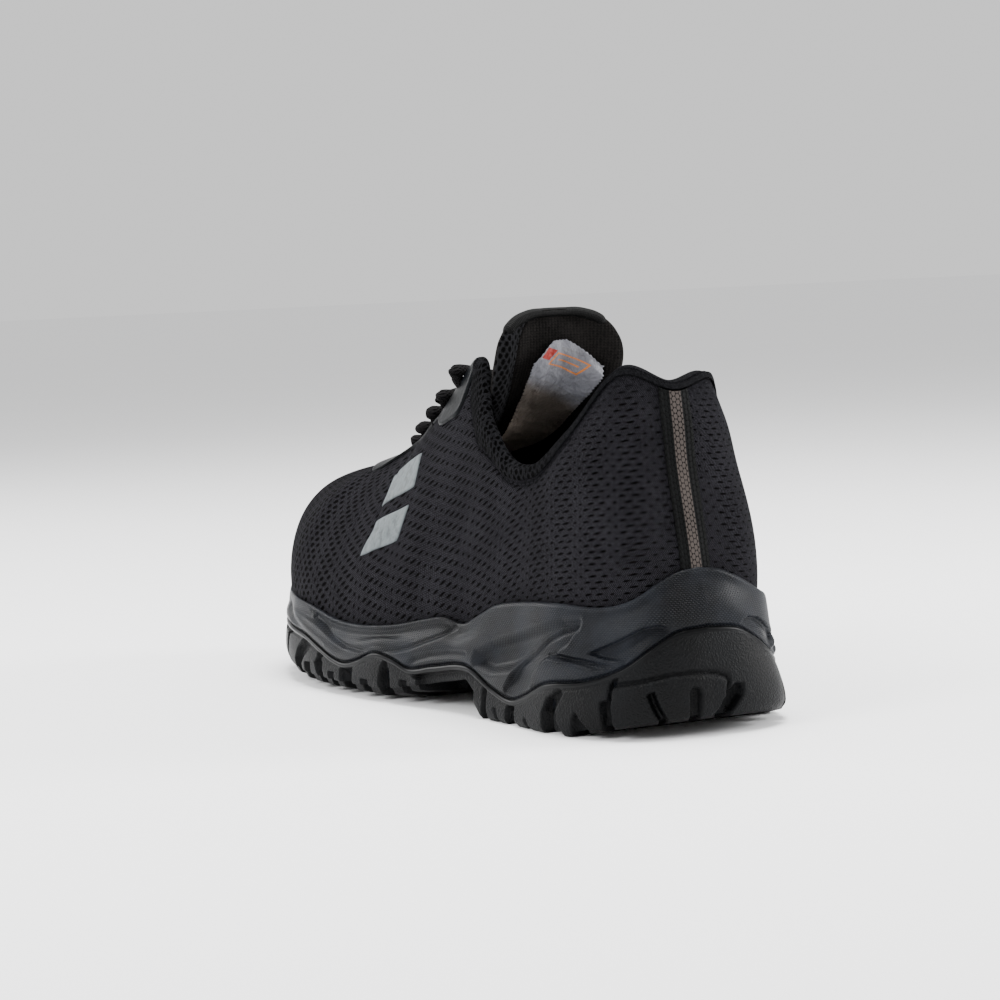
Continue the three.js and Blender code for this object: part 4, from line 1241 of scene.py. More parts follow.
@dataclass
class Upper:
    """Mesh upper: outer cloth rolled over the collar's edge, and the lining over the roll."""

    columns: int = 1100
    rows: int = 72
    lining_columns: int = 900
    lining_end: float = 5.22
    lining_lift: float = 0.55
    lining_cell: tuple[float, float] = (2.9, 2.1)
    toe_cap: float = 0.5
    slack: float = 0.18
    tuck: float = 0.5
    furrow: tuple[float, float, float] = (0.25, 0.6, 1.1)  # depth at the heel, added at the front, width
    pad: tuple[float, float] = (15.0, 9.0)  # distance below the edge, width
    dip: tuple[float, ...] = (0.6, 3.7, 0.7, 0.62, 0.2)  # depth, rib and its width, share and its width
    creases: tuple[tuple[float, ...], ...] = (  # depth, rib, lean, width
        (0.8, 6.15, 0.55, 0.07), (0.5, 6.75, 0.4, 0.09))
    holes: Table = Table(("rib", "pitch", "rise", "long", "high", "slant", "turn"), (
        (0, 4.9, 1.95, 0.3, 0.13, 0.15, 0), (1.8, 4.9, 1.95, 0.29, 0.16, 0.3, 0.1),
        (3, 5.8, 1.98, 0.26, 0.2, 0.35, 0.7), (4, 7.2, 2.0, 0.225, 0.24, 0.35, 1.1),
        (6, 7.4, 2.1, 0.225, 0.27, 0.35, 1.1), (7.4, 5.2, 2.3, 0.26, 0.35, 0.3, 0.5),
        (8.4, 3.8, 2.5, 0.28, 0.42, 0.2, 0), (10, 3.4, 2.5, 0.27, 0.42, 0, 0),
    ))
    reach: Table = Table(("rib", "out"), (
        (0, 2.4), (1.8, 2.6), (2.5, 4.4), (3.1, 5.0), (3.6, 6.8), (4, 9), (4.5, 14.5), (4.9, 13.5),
        (5.06, 7), (5.2, 3.5), (5.5, 3),
    ))
    drop: Table = Table(("rib", "down", "wall"), (
        (0, 0, 1), (1, 0.5, 1), (1.6, 1.6, 1), (2.6, 2.6, 0.8), (2.97, 3, 0.6), (3.48, 4.6, 0.45),
        (3.85, 2.8, 0.45), (4.39, 2.6, 0.5), (5, 0.3, 0.8), (5.3, 0, 1), (10, 0, 1),
    ))

    def brim(self, u: Array) -> Array:
        """Share of the rib where the sewn edge lies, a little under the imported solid's edge."""
        return 1 - self.drop.at("down", LAST.from_heel(u)) / LAST.climb(u, np.ones_like(u))

    def wall(self, u: Array, v: Array) -> Array:
        """Thickness of the wall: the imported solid's, pressed thinner along the front of the collar."""
        thin = self.drop.at("wall", LAST.from_heel(u))
        return LAST.wall_at(u, v) * (1 - (1 - thin) * smooth(0.4, 0.9, v))

    def hem(self, u: Array, brim: Array, turns: Array, thicker: float = 0.0) -> tuple[Array, Array]:
        """Cloth rolled over the wall's edge, round a line in the middle of the wall's thickness.

        Args:
            u: rib number of each column.
            brim: share of the rib at the edge.
            turns: angles of the rows, 0 outside and pi inside.
            thicker: how much more the roll's radius is than half the wall.

        Returns:
            The roll's points, and the line's.
        """
        half, normal, top = self.wall(u, brim) / 2, LAST.normal(u, brim), LAST.rib(u, brim)
        rise = unit(top - LAST.rib(u, 0.98 * brim))
        centre = top - (normal + rise) * half[:, None]
        a = turns[:, None, None]
        return centre + (normal * np.cos(a) + rise * np.sin(a)) * (half + thicker)[:, None], centre

    def seam(self, u: Array) -> Array:
        """Distance of the seam below the edge, just outside the lining's roll."""
        return self.reach.at("out", LAST.from_heel(u)) + 1.2

    def relief(self, u: Array, v: Array, below: Array) -> Array:
        """Low soft shapes of the cloth: a furrow at the seam, a padded band round the heel, the edge of the
        toe's cap, and two drawn creases where the foot bends; it lies flat under the lining's roll."""
        near, seam = LAST.from_heel(u), self.seam(u)
        deep, more, wide = self.furrow
        furrow = -(deep + more * smooth(2, 3, near)) * bell(below, seam, wide) * fall(4.9, 5.3, near)
        under = fall(seam - 1.8, seam - 0.6, below) * fall(5.1, 5.3, near)
        pad = bell(below, *self.pad) * fall(2.2, 3.4, near)
        cap = self.toe_cap * smooth(7.95, 8.15, near + 0.5 * v) * fall(0.55, 0.8, v)
        vamp = smooth(0.25, 0.5, v) * fall(0.8, 0.95, v)
        creases = -vamp * sum(cut * bell(near - lean * v, rib, wide) for cut, rib, lean, wide in self.creases)
        deep, rib, wide, share, high = self.dip
        dip = -deep * bell(near, rib, wide) * bell(v, share, high)
        slack = self.slack * np.sin(near * 7.0 + 5.0 * v + np.where(LAST.inner(u), 1.3, 0.0))
        slack = slack * smooth(0.1, 0.4, v) * fall(0.75, 0.95, v)
        return (furrow + pad + cap + creases + dip + slack) * (1 - under) - self.tuck * under

    def marks(self, u: Array, below: Array, run: Array) -> dict[str, Array]:
        """Values on the points that the cloth's pattern reads: one to a column, or one to a point.

        Args:
            u: rib number of each column.
            below: distance below the edge of each point, 0 past it.
            run: way round of each column, in millimetres.

        Returns:
            The values by name; the slits close towards the lining's roll, and are sparse below the heel's.
        """
        near = LAST.from_heel(u)
        side = np.where(LAST.inner(u), 1.0, -1.0) * np.minimum(1, near * 4)
        edge = self.reach.at("out", near)
        sparse = 1 - 0.6 * fall(1.8, 3.0, near) * fall(4, 12, below)
        sewn = (near > 1.9) & (smooth(4.95, 5.1, near) < 0.5)
        return {
            "slant": self.holes.at("slant", near) * side, "hole_long": self.holes.at("long", near),
            "hole_high": self.holes.at("high", near), "open": smooth(edge + 0.3, edge + 2.0, below) * sparse,
            "seam_run": run, "seam_off": np.where(sewn, below - self.seam(u), NO_SEAM),
        }

    def lattice(self, u: Array, length: Array, over: Array) -> Array:
        """Pattern coordinates of the slits, one unit to a cell: a whole number of cells round the shoe, whose
        rows turn upwards towards the heel on both sides.

        Args:
            u: rib number of each column.
            length: width of each column, in millimetres.
            over: way over the cloth of each point, in millimetres.

        Returns:
            Coordinates for each point and for the first column again.
        """
        near = LAST.from_heel(u)
        cells = length / self.holes.at("pitch", near)
        a = np.concatenate([[0], np.cumsum(cells)]) * np.round(cells.sum()) / cells.sum()
        turned = self.holes.at("turn", near) * np.where(LAST.inner(u), 1.0, -1.0) * np.diff(a)
        drift = np.concatenate([[0], np.cumsum(turned - turned.mean())])
        return pattern(a, wrapped(over / self.holes.at("rise", near)) - drift)

    def shell(self) -> bpy.types.Object:
        """Outer cloth: rows up the ribs, over the rolled edge, and back down inside, joined underneath."""
        edge_u = np.linspace(0, TURN, self.columns, endpoint=False)
        brim = self.brim(edge_u)
        u, v = np.broadcast_arrays(edge_u[None, :], np.linspace(0, 1, self.rows)[:, None] * brim)
        up = travel(LAST.rib(u, v))
        below = up[-1:] - up
        roll, _ = self.hem(edge_u, brim, np.linspace(0, math.pi, 9)[1:])
        bu, bv = np.broadcast_arrays(edge_u[None], np.array([0.86, 0.6, 0.35, 0.12, 0.0])[:, None])
        points = np.concatenate([
            LAST.skin(u, v, self.relief(u, v, below)), roll, LAST.skin(bu, bv, -self.wall(bu, bv))])
        mid = LAST.rib(edge_u, np.full_like(edge_u, 0.45))
        run = travel(np.concatenate([mid, mid[:1]]))
        deep = np.concatenate([below, np.zeros((len(points) - self.rows, self.columns))])
        uv = self.lattice(edge_u, np.diff(run), travel(points))
        marks = self.marks(edge_u, deep, run[:-1])
        return Grid(points, uv, wrap_rows=True, wrap_cols=True, marks=marks).build("upper_cloth")

    def lining(self) -> bpy.types.Object:
        """Lining mesh that comes up inside, rolls over the collar's edge and is sewn down outside; its outer
        reach grows from a narrow binding at the heel to a broad roll at the front."""
        u = np.linspace(-self.lining_end, self.lining_end, self.lining_columns)
        brim, near = self.brim(u), np.abs(u)
        out, lift = self.reach.at("out", near), self.lining_lift
        share = np.linspace(1, 0.16, 12)[:, None]
        swell = 0.9 * np.sin(np.clip(share * 1.1, 0, 1) * math.pi) * smooth(3, 7, out)
        outer = LAST.skin(*np.broadcast_arrays(u[None], brim - out * share / LAST.climb(u, brim)),
                          0.05 + lift * smooth(1.02, 0.9, share) + swell)
        roll, centre = self.hem(u, brim, np.linspace(0.12, math.pi, 14), lift)
        bu, bv = np.broadcast_arrays(u[None], np.linspace(0.93, 0.3, 14)[:, None])
        soft = 1.2 * np.sin((bv - 0.3) / 0.63 * math.pi) * fall(4.2, 5.2, np.abs(bu))
        back = LAST.skin(bu, bv, -self.wall(bu, bv) - lift - soft)
        over = np.concatenate([outer, roll, back]).transpose(1, 0, 2)
        middle = over[:, over.shape[1] // 2 - 2][:, None]
        run = travel(centre)[:, None]
        full = lambda value: np.broadcast_to(value, over.shape[:2])
        marks = {"slant": full(0.15), "hole_long": full(0.3), "hole_high": full(0.46),
                 "open": full(smooth(2.0, 3.0, near)[:, None])}
        uv = pattern(run / self.lining_cell[0], travel(over, 1) / self.lining_cell[1])
        return slab(over, over + unit(middle - over) * 0.25, uv, marks).build("collar_lining")

    def build(self) -> None:
        """Makes the shell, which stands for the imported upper, and the lining over its edge."""
        dress(self.shell(), AirMesh(), Slot.UPPER, "upper")
        mesh = AirMesh("lining_mesh", light=srgb(46, 46, 49), depth=0.0008, stitch=0.0)
        dress(self.lining(), mesh, Slot.UPPER)


# ---- tongue ----


@dataclass
class Tongue:
    """Padded tongue with its binding and label."""

    half: float = 24.0
    thick: float = 8.0
    top: float = 138.0
    binding_ends: tuple[float, float] = (0.8, 0.84)
    binding_turn: float = 0.985
    binding_half: tuple[float, float] = (1.7, 2.3)
    binding_inset: float = 1.3
    label_wide: float = 25.0
    label_long: float = 68.0
    label_span: tuple[float, float] = (0.3, 0.75)
    label_turn: float = math.radians(28)
    label_thick: float = 0.18
    strip: float = 0.66
    rows: tuple[tuple[float, ...], ...] = (
        (0.718, 0.518, 0.66, 0.38, 0.12, 0), (0.652, 0.552, 0.78, 0.56, 0.16, 0),
        (0.568, 0.605, 0.86, 0.8, 0.2, 0), (0.485, 0.663, 0.86, 0.94, 0.22, 0),
        (0.415, 0.714, 0.93, 1, 0.22, 0), (0.366, 0.786, 0.98, 1, 0.2, 0),
        (0.336, 0.866, 1.04, 0.95, 0.18, 0), (0.326, 0.928, 0.94, 0.85, 0.14, -0.02),
        (0.322, 0.972, 0.68, 0.7, 0.08, -0.04), (0.32, 0.99, 0.36, 0.4, 0.02, -0.05),
    )

    def row(self, s: Array) -> Array:
        """Columns y, z, half width, thickness, bend and side shift at a share s along the tongue."""
        value = through(np.array(self.rows), np.clip(s, 0, 1) * (len(self.rows) - 1))
        scale = np.array([LAST.length, self.top, self.half, self.thick, self.half, self.half])
        return value * scale + np.array([LAST.heel_overhang, 0, 0, 0, 0, 0])

    def point(self, s: Array, across: Array, deep: Array, proud: Array = 0.0) -> Array:
        """Point on the tongue.

        Args:
            s: share of the way along, 0 in the throat, 1 at the top.
            across: from -1 at the outer side to 1.
            deep: from -1 on the foot side to 1 on the lace side.
            proud: height over the surface, in millimetres.

        Returns:
            Points, in millimetres.
        """
        given = (np.asarray(x, float) for x in (s, across, deep, proud))
        s, across, deep, proud = np.broadcast_arrays(*given)
        r = self.row(s)
        d = self.row(np.minimum(1, s + 0.01)) - self.row(np.maximum(0, s - 0.01))
        long = np.hypot(d[..., 0], d[..., 1])
        fy, fz = d[..., 1] / long, -d[..., 0] / long
        off = deep * (r[..., 3] / 2 + proud) - r[..., 4] * across * across
        return np.stack([r[..., 5] + across * r[..., 2], r[..., 0] + fy * off, r[..., 1] + fz * off], -1)

    def hollow(self, s: Array, across: Array) -> Array:
        """How far the foot side is sunk: a soft hollow in the middle, a furrow at the seam, faint dents."""
        r = self.row(s)
        bowl = 0.34 * r[..., 3] * fall(0.45, 0.95, np.abs(across)) * smooth(0.35, 0.6, s)
        bowl = bowl * fall(0.93, 0.99, s)
        seam = 0.7 * bell(-across, self.strip, 0.05) * fall(0.93, 0.97, s)
        dents = 0.25 * np.sin(9 * s + 2.2 * across) * np.sin(5 * across + 14 * s)
        return bowl + seam + dents

    def body(self) -> bpy.types.Object:
        """Padded body: an ellipse with slightly square sides carried along the tongue's middle line, sunk in
        the middle of its foot side."""
        a = np.linspace(0, FULL_TURN, 144, endpoint=False)[None, :]
        power = lambda x, k: np.sign(x) * np.abs(x) ** k
        across, deep = power(np.cos(a), 0.9), power(np.sin(a), 0.75)
        s, across, deep = np.broadcast_arrays(np.linspace(0, 1, 200)[:, None], across, deep)
        points = self.point(s, across, deep)
        foot = smooth(0.0, -0.35, deep)
        pull = self.point(s, across, deep + 0.05) - self.point(s, across, deep - 0.05)
        points = points + unit(pull) * (foot * self.hollow(s, across))[..., None]
        width = self.row(s)[..., 2]
        uv = pattern(wrapped(across * width), travel(points.mean(1))[:, None])
        marks = {"strip": smooth(self.strip - 0.01, self.strip + 0.01, -across) * foot,
                 "seam_off": np.where(foot > 0.5, (-across - self.strip) * width, NO_SEAM)}
        return Grid(points, uv, wrap_cols=True, sewn=True, marks=marks).build("tongue_pad")

    def binding(self) -> bpy.types.Object:
        """Smooth tape rolled over the tongue's free edge, from below its outer corner round the top."""
        sides, over = 60, 30
        (first, last), turn = self.binding_ends, self.binding_turn
        s = np.concatenate([np.linspace(first, turn, sides), np.ones(over), np.linspace(turn, last, sides)])
        across = np.concatenate([-np.ones(sides), np.linspace(-0.8, 0.8, over), np.ones(sides)])
        edge, inward = self.point(s, across, 0.0), self.point(np.minimum(s, 0.9), across * 0.4, 0.0)
        step = travel(edge)
        at = np.linspace(0, step[-1], 150)

        def even(line: Array) -> Array:
            """The line at even steps along the edge, softened by a running mean of eleven steps."""
            steps = (np.pad(np.interp(at, step, part), 5, mode="edge") for part in line.T)
            return np.stack([np.convolve(part, np.ones(11) / 11, "valid") for part in steps], -1)

        edge, inward = even(edge), even(inward)
        along = unit(np.gradient(edge, axis=0))
        front = unit(np.cross(along, unit(inward - edge)))
        side = unit(np.cross(front, along))
        side = side * np.sign((side * (inward - edge)).sum(1))[:, None]
        slim = 0.6 + 0.4 * smooth(0, 3.0, at) * smooth(0, 3.0, at[-1] - at)
        wide = (self.binding_half[0] + 0.25 * np.sin(at / 5.0)) * slim
        centre = edge + side * self.binding_inset
        return tube(centre, side * wide[:, None], front * (self.binding_half[1] * slim)[:, None], 28)

    def label(self) -> tuple[bpy.types.Object, float]:
        """Label sewn in under the tongue's top: a slanting top corner, pinked edges, a rounded lower end,
        soft folds and a lifted outer side.

        Returns:
            The piece, and its flat area in square metres.
        """
        i, j = sheet_grid(205, 73)
        low, high = self.label_span
        corner = (0.095 * np.clip(2 * j - 1, 0, 1) + 0.08 * np.clip(1 - j / 0.3, 0, 1)) * i * i
        s = low + (high - low) * i - corner
        zigzag = lambda at, count: np.abs(np.mod(at * count, 1.0) - 0.5)
        teeth = 0.045 * zigzag(i, 34) * smooth(0.45, 0.5, np.abs(j - 0.5)) * np.sign(j - 0.5)
        s = s + 0.009 * zigzag(j, 18) * smooth(0.97, 1.0, i)
        narrow = 0.85 + 0.15 * i - 0.35 * fall(0.0, 0.22, i) ** 2
        lean = 0.3 * (i - 0.55)
        across = lean + (j - 0.5 + teeth) * self.label_wide / self.half * narrow
        fold = 0.9 * np.sin(2.4 * math.pi * j + 1.2 * i) * smooth(0.25, 0.8, i) + 0.5 * np.sin(7 * i + 3 * j)
        crumple = 0.35 * np.sin(16 * i + 9 * j) * np.sin(21 * j - 4 * i) + 0.2 * np.sin(37 * i - 14 * j + 1.0)
        fold = fold + crumple * smooth(0.35, 0.7, i)
        raised = 2.0 * smooth(0.75, 1.0, j) * smooth(0.5, 0.9, i) * fall(0.93, 1.0, i)
        lift = 1.4 + 0.7 * fold + raised - 0.85 * self.hollow(s, across)
        outer, inner = (self.point(s, across, -1.0, lift + k) for k in (self.label_thick, 0.0))
        x = (across - lean) * self.half + self.label_wide / 2 - 7.0
        y = (high - s) / (high - low) * self.label_long
        cos, sin = math.cos(self.label_turn), math.sin(self.label_turn)
        d_i, d_j = np.diff(outer, axis=0)[:, :-1], np.diff(outer, axis=1)[:-1]
        area = float(np.linalg.norm(np.cross(d_i, d_j), axis=-1).sum()) * MM * MM
        uv = pattern(x * cos + y * sin, y * cos - x * sin)
        return slab(outer, inner, uv).build("tongue_label_cloth"), area

    def build(self) -> None:
        """Pad, binding and label."""
        pad = dress(self.body(), Fleece(), Slot.TONGUE, "tongue")
        dress(self.binding().build("tongue_binding"), Satin(), Slot.TONGUE)
        label, area = self.label()
        dress(label, LabelCloth(), Slot.LABEL, "tongue_label")


# ---- overlays and lace ----


@dataclass
class Overlays:
    """Eyestay films, side prints and heel tape, pressed or sewn on the upper's surface."""

    film: float = 0.7
    film_ends: tuple[float, float] = (5.06, 9.1)
    tape_top: float = 0.962
    tape_width: float = 10.4
    table: Table = Table(("rib", "low"), (
        (5.06, 0.84), (5.14, 0.785), (5.35, 0.775), (5.6, 0.79), (5.85, 0.86), (6.1, 0.925), (6.6, 0.93),
        (7.2, 0.9), (7.45, 0.79), (7.7, 0.77), (8.0, 0.86), (8.4, 0.93), (9.1, 0.95),
    ))
    prints: tuple[tuple[tuple[float, float], ...], ...] = (
        ((6.487, 0.332), (5.684, 0.371), (5.64, 0.5), (6.36, 0.465)),
        ((6.43, 0.53), (5.66, 0.565), (5.826, 0.714), (6.6, 0.69)),
    )

    def eyestay(self, side: int, name: str) -> bpy.types.Object:
        """Film along one side of the throat, thinned at its edge."""
        i, j = sheet_grid(240, 33)
        first, last = self.film_ends
        rib = first + (last - first) * i
        low = self.table.at("low", rib)
        v = low + (1 - low) * j
        edge = np.clip(np.minimum(np.minimum(i * 80, (1 - i) * 60), np.minimum(j, 1 - j) * 20), 0, 1)
        lift = 0.25 + self.film * np.sqrt(edge) + 0.12 * np.sin(rib * 9) * edge
        outer, inner = LAST.skin(side * rib, v, lift), LAST.skin(side * rib, v, 0.05 + 0 * lift)
        return slab(outer, inner, pattern(i * 120, j * 20)).build(name)

    def side_print(self, corners: tuple[tuple[float, float], ...], name: str) -> bpy.types.Object:
        """A slanting bar printed on the outer side: four corners of rib and share, slightly rounded."""
        i, j = sheet_grid(60, 60, -1.0)
        x, y = i * np.sqrt(1 - 0.06 * j**8), j * np.sqrt(1 - 0.05 * i**8)
        a, b = (x + 1)[..., None] / 2, (y + 1)[..., None] / 2
        c = np.array(corners)
        at = (c[0] * (1 - a) + c[1] * a) * (1 - b) + (c[3] * (1 - a) + c[2] * a) * b
        u, v = at[..., 0], at[..., 1]
        base = Upper().relief(u, v, 30.0 + 0 * i)
        rim = np.clip(np.minimum(1 - np.abs(i), 1 - np.abs(j)) * 12, 0, 1)
        outer, inner = LAST.skin(u, v, base + 0.12 + 0.28 * np.sqrt(rim)), LAST.skin(u, v, base - 0.05)
        return slab(outer, inner, pattern(i * 12, j * 12)).build(name)

    def heel(self) -> bpy.types.Object:
        """Tape up the middle of the heel, from the midsole's rim to the collar, with a padded middle."""
        i, j = sheet_grid(260, 44)
        low = float(SOLE.rim_share(np.array([0.0]))[0]) - 0.02
        v = low + (self.tape_top - low) * i
        half = np.full_like(v, 0.5)
        across = (j - 0.5) * self.tape_width
        u = across / np.linalg.norm(LAST.rib(half, v) - LAST.rib(-half, v), axis=-1)
        run = travel(LAST.rib(u[:, 0], v[:, 0]))[:, None] + 0 * v
        base = Upper().relief(u, v, run[-1:] - run + 3.0)
        edge = np.sqrt(np.clip(np.minimum(j, 1 - j) * 14, 0, 1))
        lift = base + 0.65 + 0.45 * edge + 0.35 * smooth(2.4, 1.9, np.abs(across))
        outer, inner = LAST.skin(u, v, lift), LAST.skin(u, v, base + 0.05)
        return slab(outer, inner, pattern(run, across)).build("heel_webbing")

    def build(self) -> None:
        """Both films, the side's print and the tape."""
        dress(self.eyestay(1, "eyestay_film_outer"), Film(), Slot.EYESTAY, "eyestay_outer")
        dress(self.eyestay(-1, "eyestay_film_inner"), Film(), Slot.EYESTAY, "eyestay_inner")
        for number, corners in enumerate(self.prints, 1):
            dress(self.side_print(corners, f"side_print_{number}"), Print(), Slot.EYESTAY)
        dress(self.heel(), Webbing(), Slot.HEEL, "heel_strip")


@dataclass
class Laces:
    """Fixed crossings of the lace over the throat."""

    width: float = 4.8
    thick: float = 3.9
    clear: float = 0.5
    climb: tuple[float, float] = (0.02, 0.045)
    rows: tuple[tuple[float, float], ...] = (
        (5.55, 0.935), (6, 0.94), (6.45, 0.945), (6.95, 0.95), (7.5, 0.955))

    def run(self, start: tuple[float, float], end: tuple[float, float]) -> Grid:
        """One run of lace from hole to hole: a smooth path that climbs over both throat edges."""
        lift = self.clear + self.thick / 2
        at = lambda hole, v, up: LAST.skin(np.array([hole[0]]), np.array([v]), np.array([up]))
        low, high = self.climb
        up = lambda hole: [at(hole, hole[1] + low, -1.0), at(hole, hole[1] + high, lift),
                           at(hole, 1.0, 0.2 * lift) + [0, 0, 0.9 * lift]]
        p = np.concatenate(up(start) + up(end)[::-1])
        keys = np.concatenate([2 * p[:1] - p[1:2], p, 2 * p[-1:] - p[-2:-1]])
        path = through(keys, np.linspace(1, len(p) - 1e-4, 90))
        along = unit(np.gradient(path, axis=0))
        side = unit(np.cross(along, np.array([0.0, -0.35, 1.0])))
        return tube(path, side * self.width / 2, np.cross(side, along) * self.thick / 2, 20)

    def build(self) -> None:
        """Pairs of runs cross from row to row; the foremost row has one straight bar."""
        runs = []
        for here, ahead in zip(self.rows[:-1], self.rows[1:]):
            runs += [((side * here[0], here[1]), (-side * ahead[0], ahead[1])) for side in (1, -1)]
        rib, v = self.rows[-1]
        runs.append(((rib, v), (-rib, v)))
        for number, (start, end) in enumerate(runs, 1):
            piece = self.run(start, end).build(f"lace_{number}")
            dress(piece, Cord(), Slot.LACE, *(["laces"] if number == 1 else []))


# ---- sole ----


@dataclass(frozen=True)
class Moulding:
    """A shape moulded in the sole's side: an outline, or an open line, in millimetres along the side and up.

    Along counts from the heel's back, above 0 towards the outer side. A height above 0 stands proud.
    """

    points: Path
    height: float
    soft: float
    line: bool = False
    both: bool = True

    def at(self, along: Array, up: Array) -> Array:
        """Height at places of the side: a soft step across an outline, or a hump along a line."""
        key = np.abs(along) if self.both else along
        corners = np.array(self.points)
        if self.line:
            return self.height * bell(path_distance(key, up, corners), 0, self.soft)
        return self.height * smooth(-0.5 * self.soft, 0.5 * self.soft, inside(key, up, corners))


def moulds(height: float, soft: float, *outlines: Path, line: bool = False, both: bool = True) -> tuple:
    """Mouldings of one height and softness."""
    return tuple(Moulding(points, height, soft, line, both) for points in outlines)


def moulded(shapes: tuple[Moulding, ...], along: Array, up: Array) -> Array:
    """Sum of the heights of moulded shapes."""
    return sum(shape.at(along, up) for shape in shapes)


PANEL_EDGE: Path = (
    (225, 26), (211.8, 22), (202.5, 19.3), (194, 17.5), (183, 16.9), (172.5, 17.1), (162, 18.2), (153.3, 20),
    (144, 23), (134.6, 25.7), (126.3, 29.5),
)
BLOCK_EDGE: Path = (
    (33.4, 17.5), (25.4, 18.4), (13.2, 20.5), (4, 20.6), (-2.1, 19.8), (-5.2, 18.7), (-5.9, 17.3),
    (-5.2, 13.5),
)


@dataclass
class Midsole:
    """Foam midsole with its waved rim and sculpted side."""

    columns: int = 1300
    side_rows: int = 66
    floor_inset: float = 4.1
    floor_rise: float = 5.3
    side_keys: tuple[tuple[float, float], ...] = ((2.4, 0), (1.2, 0), (0.84, 0.22), (1.92, 0.5))
    key_shares: tuple[float, ...] = (0, 0.03, 0.3, 0.55, 0.86, 0.93, 0.97, 1)
    seam: float = 0.9
    shapes: tuple[Moulding, ...] = (
        *moulds(-3.2, 5.0, (
            (111.4, 17.7), (109.4, 21.7), (100.7, 25.4), (89.2, 28.2), (75.2, 31.8), (64.9, 34.7),
            (56.3, 36.8), (48, 37), (48.5, 35.8), (56.1, 33.9), (64.6, 30.8), (72.8, 25.9), (80.1, 22.1),
            (88.6, 19.1), (101.4, 16.7))),
        *moulds(-2.1, 1.1, (
            (47.9, 35.8), (56.1, 33.9), (64.6, 30.8), (72.8, 25.9), (80, 22.2), (86, 17.7), (91.4, 12.3),
            (92, 4), (74, 4), (74.5, 14.2), (70.5, 19.9), (63.3, 25.3), (59, 26.2), (52.2, 29.7))),
        *moulds(1.3, 0.9, (
            (74.4, 13.7), (70.2, 18.6), (65.5, 22.7), (60.3, 25.2), (56.8, 25), (46.2, 23.6), (33.8, 21.6),
            (36, 10), (74, 6))),
        *moulds(-0.8, 0.6, ((59, 26.2), (44.1, 25), (30.2, 23.3), (33.8, 21.6), (46.2, 23.6), (56.8, 25))),
        *moulds(-1.1, 0.6, ((63.3, 25.3), (59, 26.2), (44.1, 25), (30.2, 23.3)), line=True),
        *moulds(-2.1, 0.8, (
            (42.6, 27.5), (30.4, 32.1), (22.3, 35.6), (17.1, 36.4), (14.6, 35.8), (12.4, 33.6), (22.5, 27),
            (28.6, 24.8), (37.9, 26.1))),
        *moulds(0.4, 0.5, ((42.6, 27.5), (37.9, 26.1), (28.6, 24.8)), line=True),
        *moulds(-1.0, 1.2, ((250, 50), (240, 34), *PANEL_EDGE, (120, 34), (130, 50))),
        *moulds(-0.8, 0.7, PANEL_EDGE, line=True),
        *moulds(-1.3, 1.3, ((152.1, 14.2), (147.7, 16.4), (138.2, 18.6), (127.6, 20.1), (118, 20.3)),
                line=True),
        *moulds(-0.9, 1.8, ((262, 27), (240, 22), (222, 17.5), (212, 15.5)), line=True),
    )

    def build(self) -> None:
        """Side rows from the outsole's lip to the rim, over the rim and down inside, sewn shut."""
        u = np.linspace(0, TURN, self.columns, endpoint=False)
        low, top = SOLE.outsole_top(u) + 0.3, SOLE.midsole_top(u)
        lip, share = SOLE.lip(u), SOLE.rim_share(u)
        rim = SOLE.midsole_rim * SOLE.side_at(u, "rim")
        out = LAST.outward(u)

        def edge(inset: float, part: float) -> Array:
            """Point of the side between the outsole's lip (part 0) and the rim (part 1)."""
            return SOLE.beside(u, lip - inset, low + part * (top - low))

        def against(part: float, reach: Array, above: float) -> Array:
            """Point of the rim, measured from the upper's surface."""
            p = LAST.rib(u, part * share) + out * np.asarray(reach)[..., None]
            p[:, 2] += above
            return p

        zero = np.zeros_like(u)
        keys = np.stack([
            *(edge(inset, part) for inset, part in self.side_keys),
            against(1, rim + 0.8, -3.7), against(1, rim + 0.3, -1.0), against(1, 0.6 * rim + 0.3, 0.0),
            against(1, zero + 0.3, -0.2),
        ])
        t = np.interp(np.linspace(0, 1, self.side_rows), self.key_shares, np.arange(len(keys)) - 1e-4)
        t = np.maximum(t, 0)
        side = through(keys, t)
        along = SOLE.along(u) + np.zeros((len(t), 1))
        up = side[..., 2]
        fade = smooth(1.0, 2.2, t)[:, None] * fall(4.6, 5.2, t)[:, None]
        relief = moulded(self.shapes, along, up) * fade
        relief -= self.seam * bell(np.maximum(up - low, 0), 0, 0.7) * smooth(0.5, 1.0, t)[:, None]
        side = side + out[None] * relief[..., None]
        tail = np.stack([against(0.5, zero + 0.3, 0), against(0, zero + 0.3, -0.3)])
        floor = SOLE.beside(u, lip - self.floor_inset, SOLE.floor(u) + self.floor_rise)
        points = np.concatenate([floor[None], side, tail])
        uv = pattern(SOLE.run(u), wrapped(points[..., 2]))
        piece = Grid(points, uv, wrap_cols=True, sewn=True).build("midsole_foam")
        dress(piece, Foam(), Slot.MIDSOLE, "midsole")


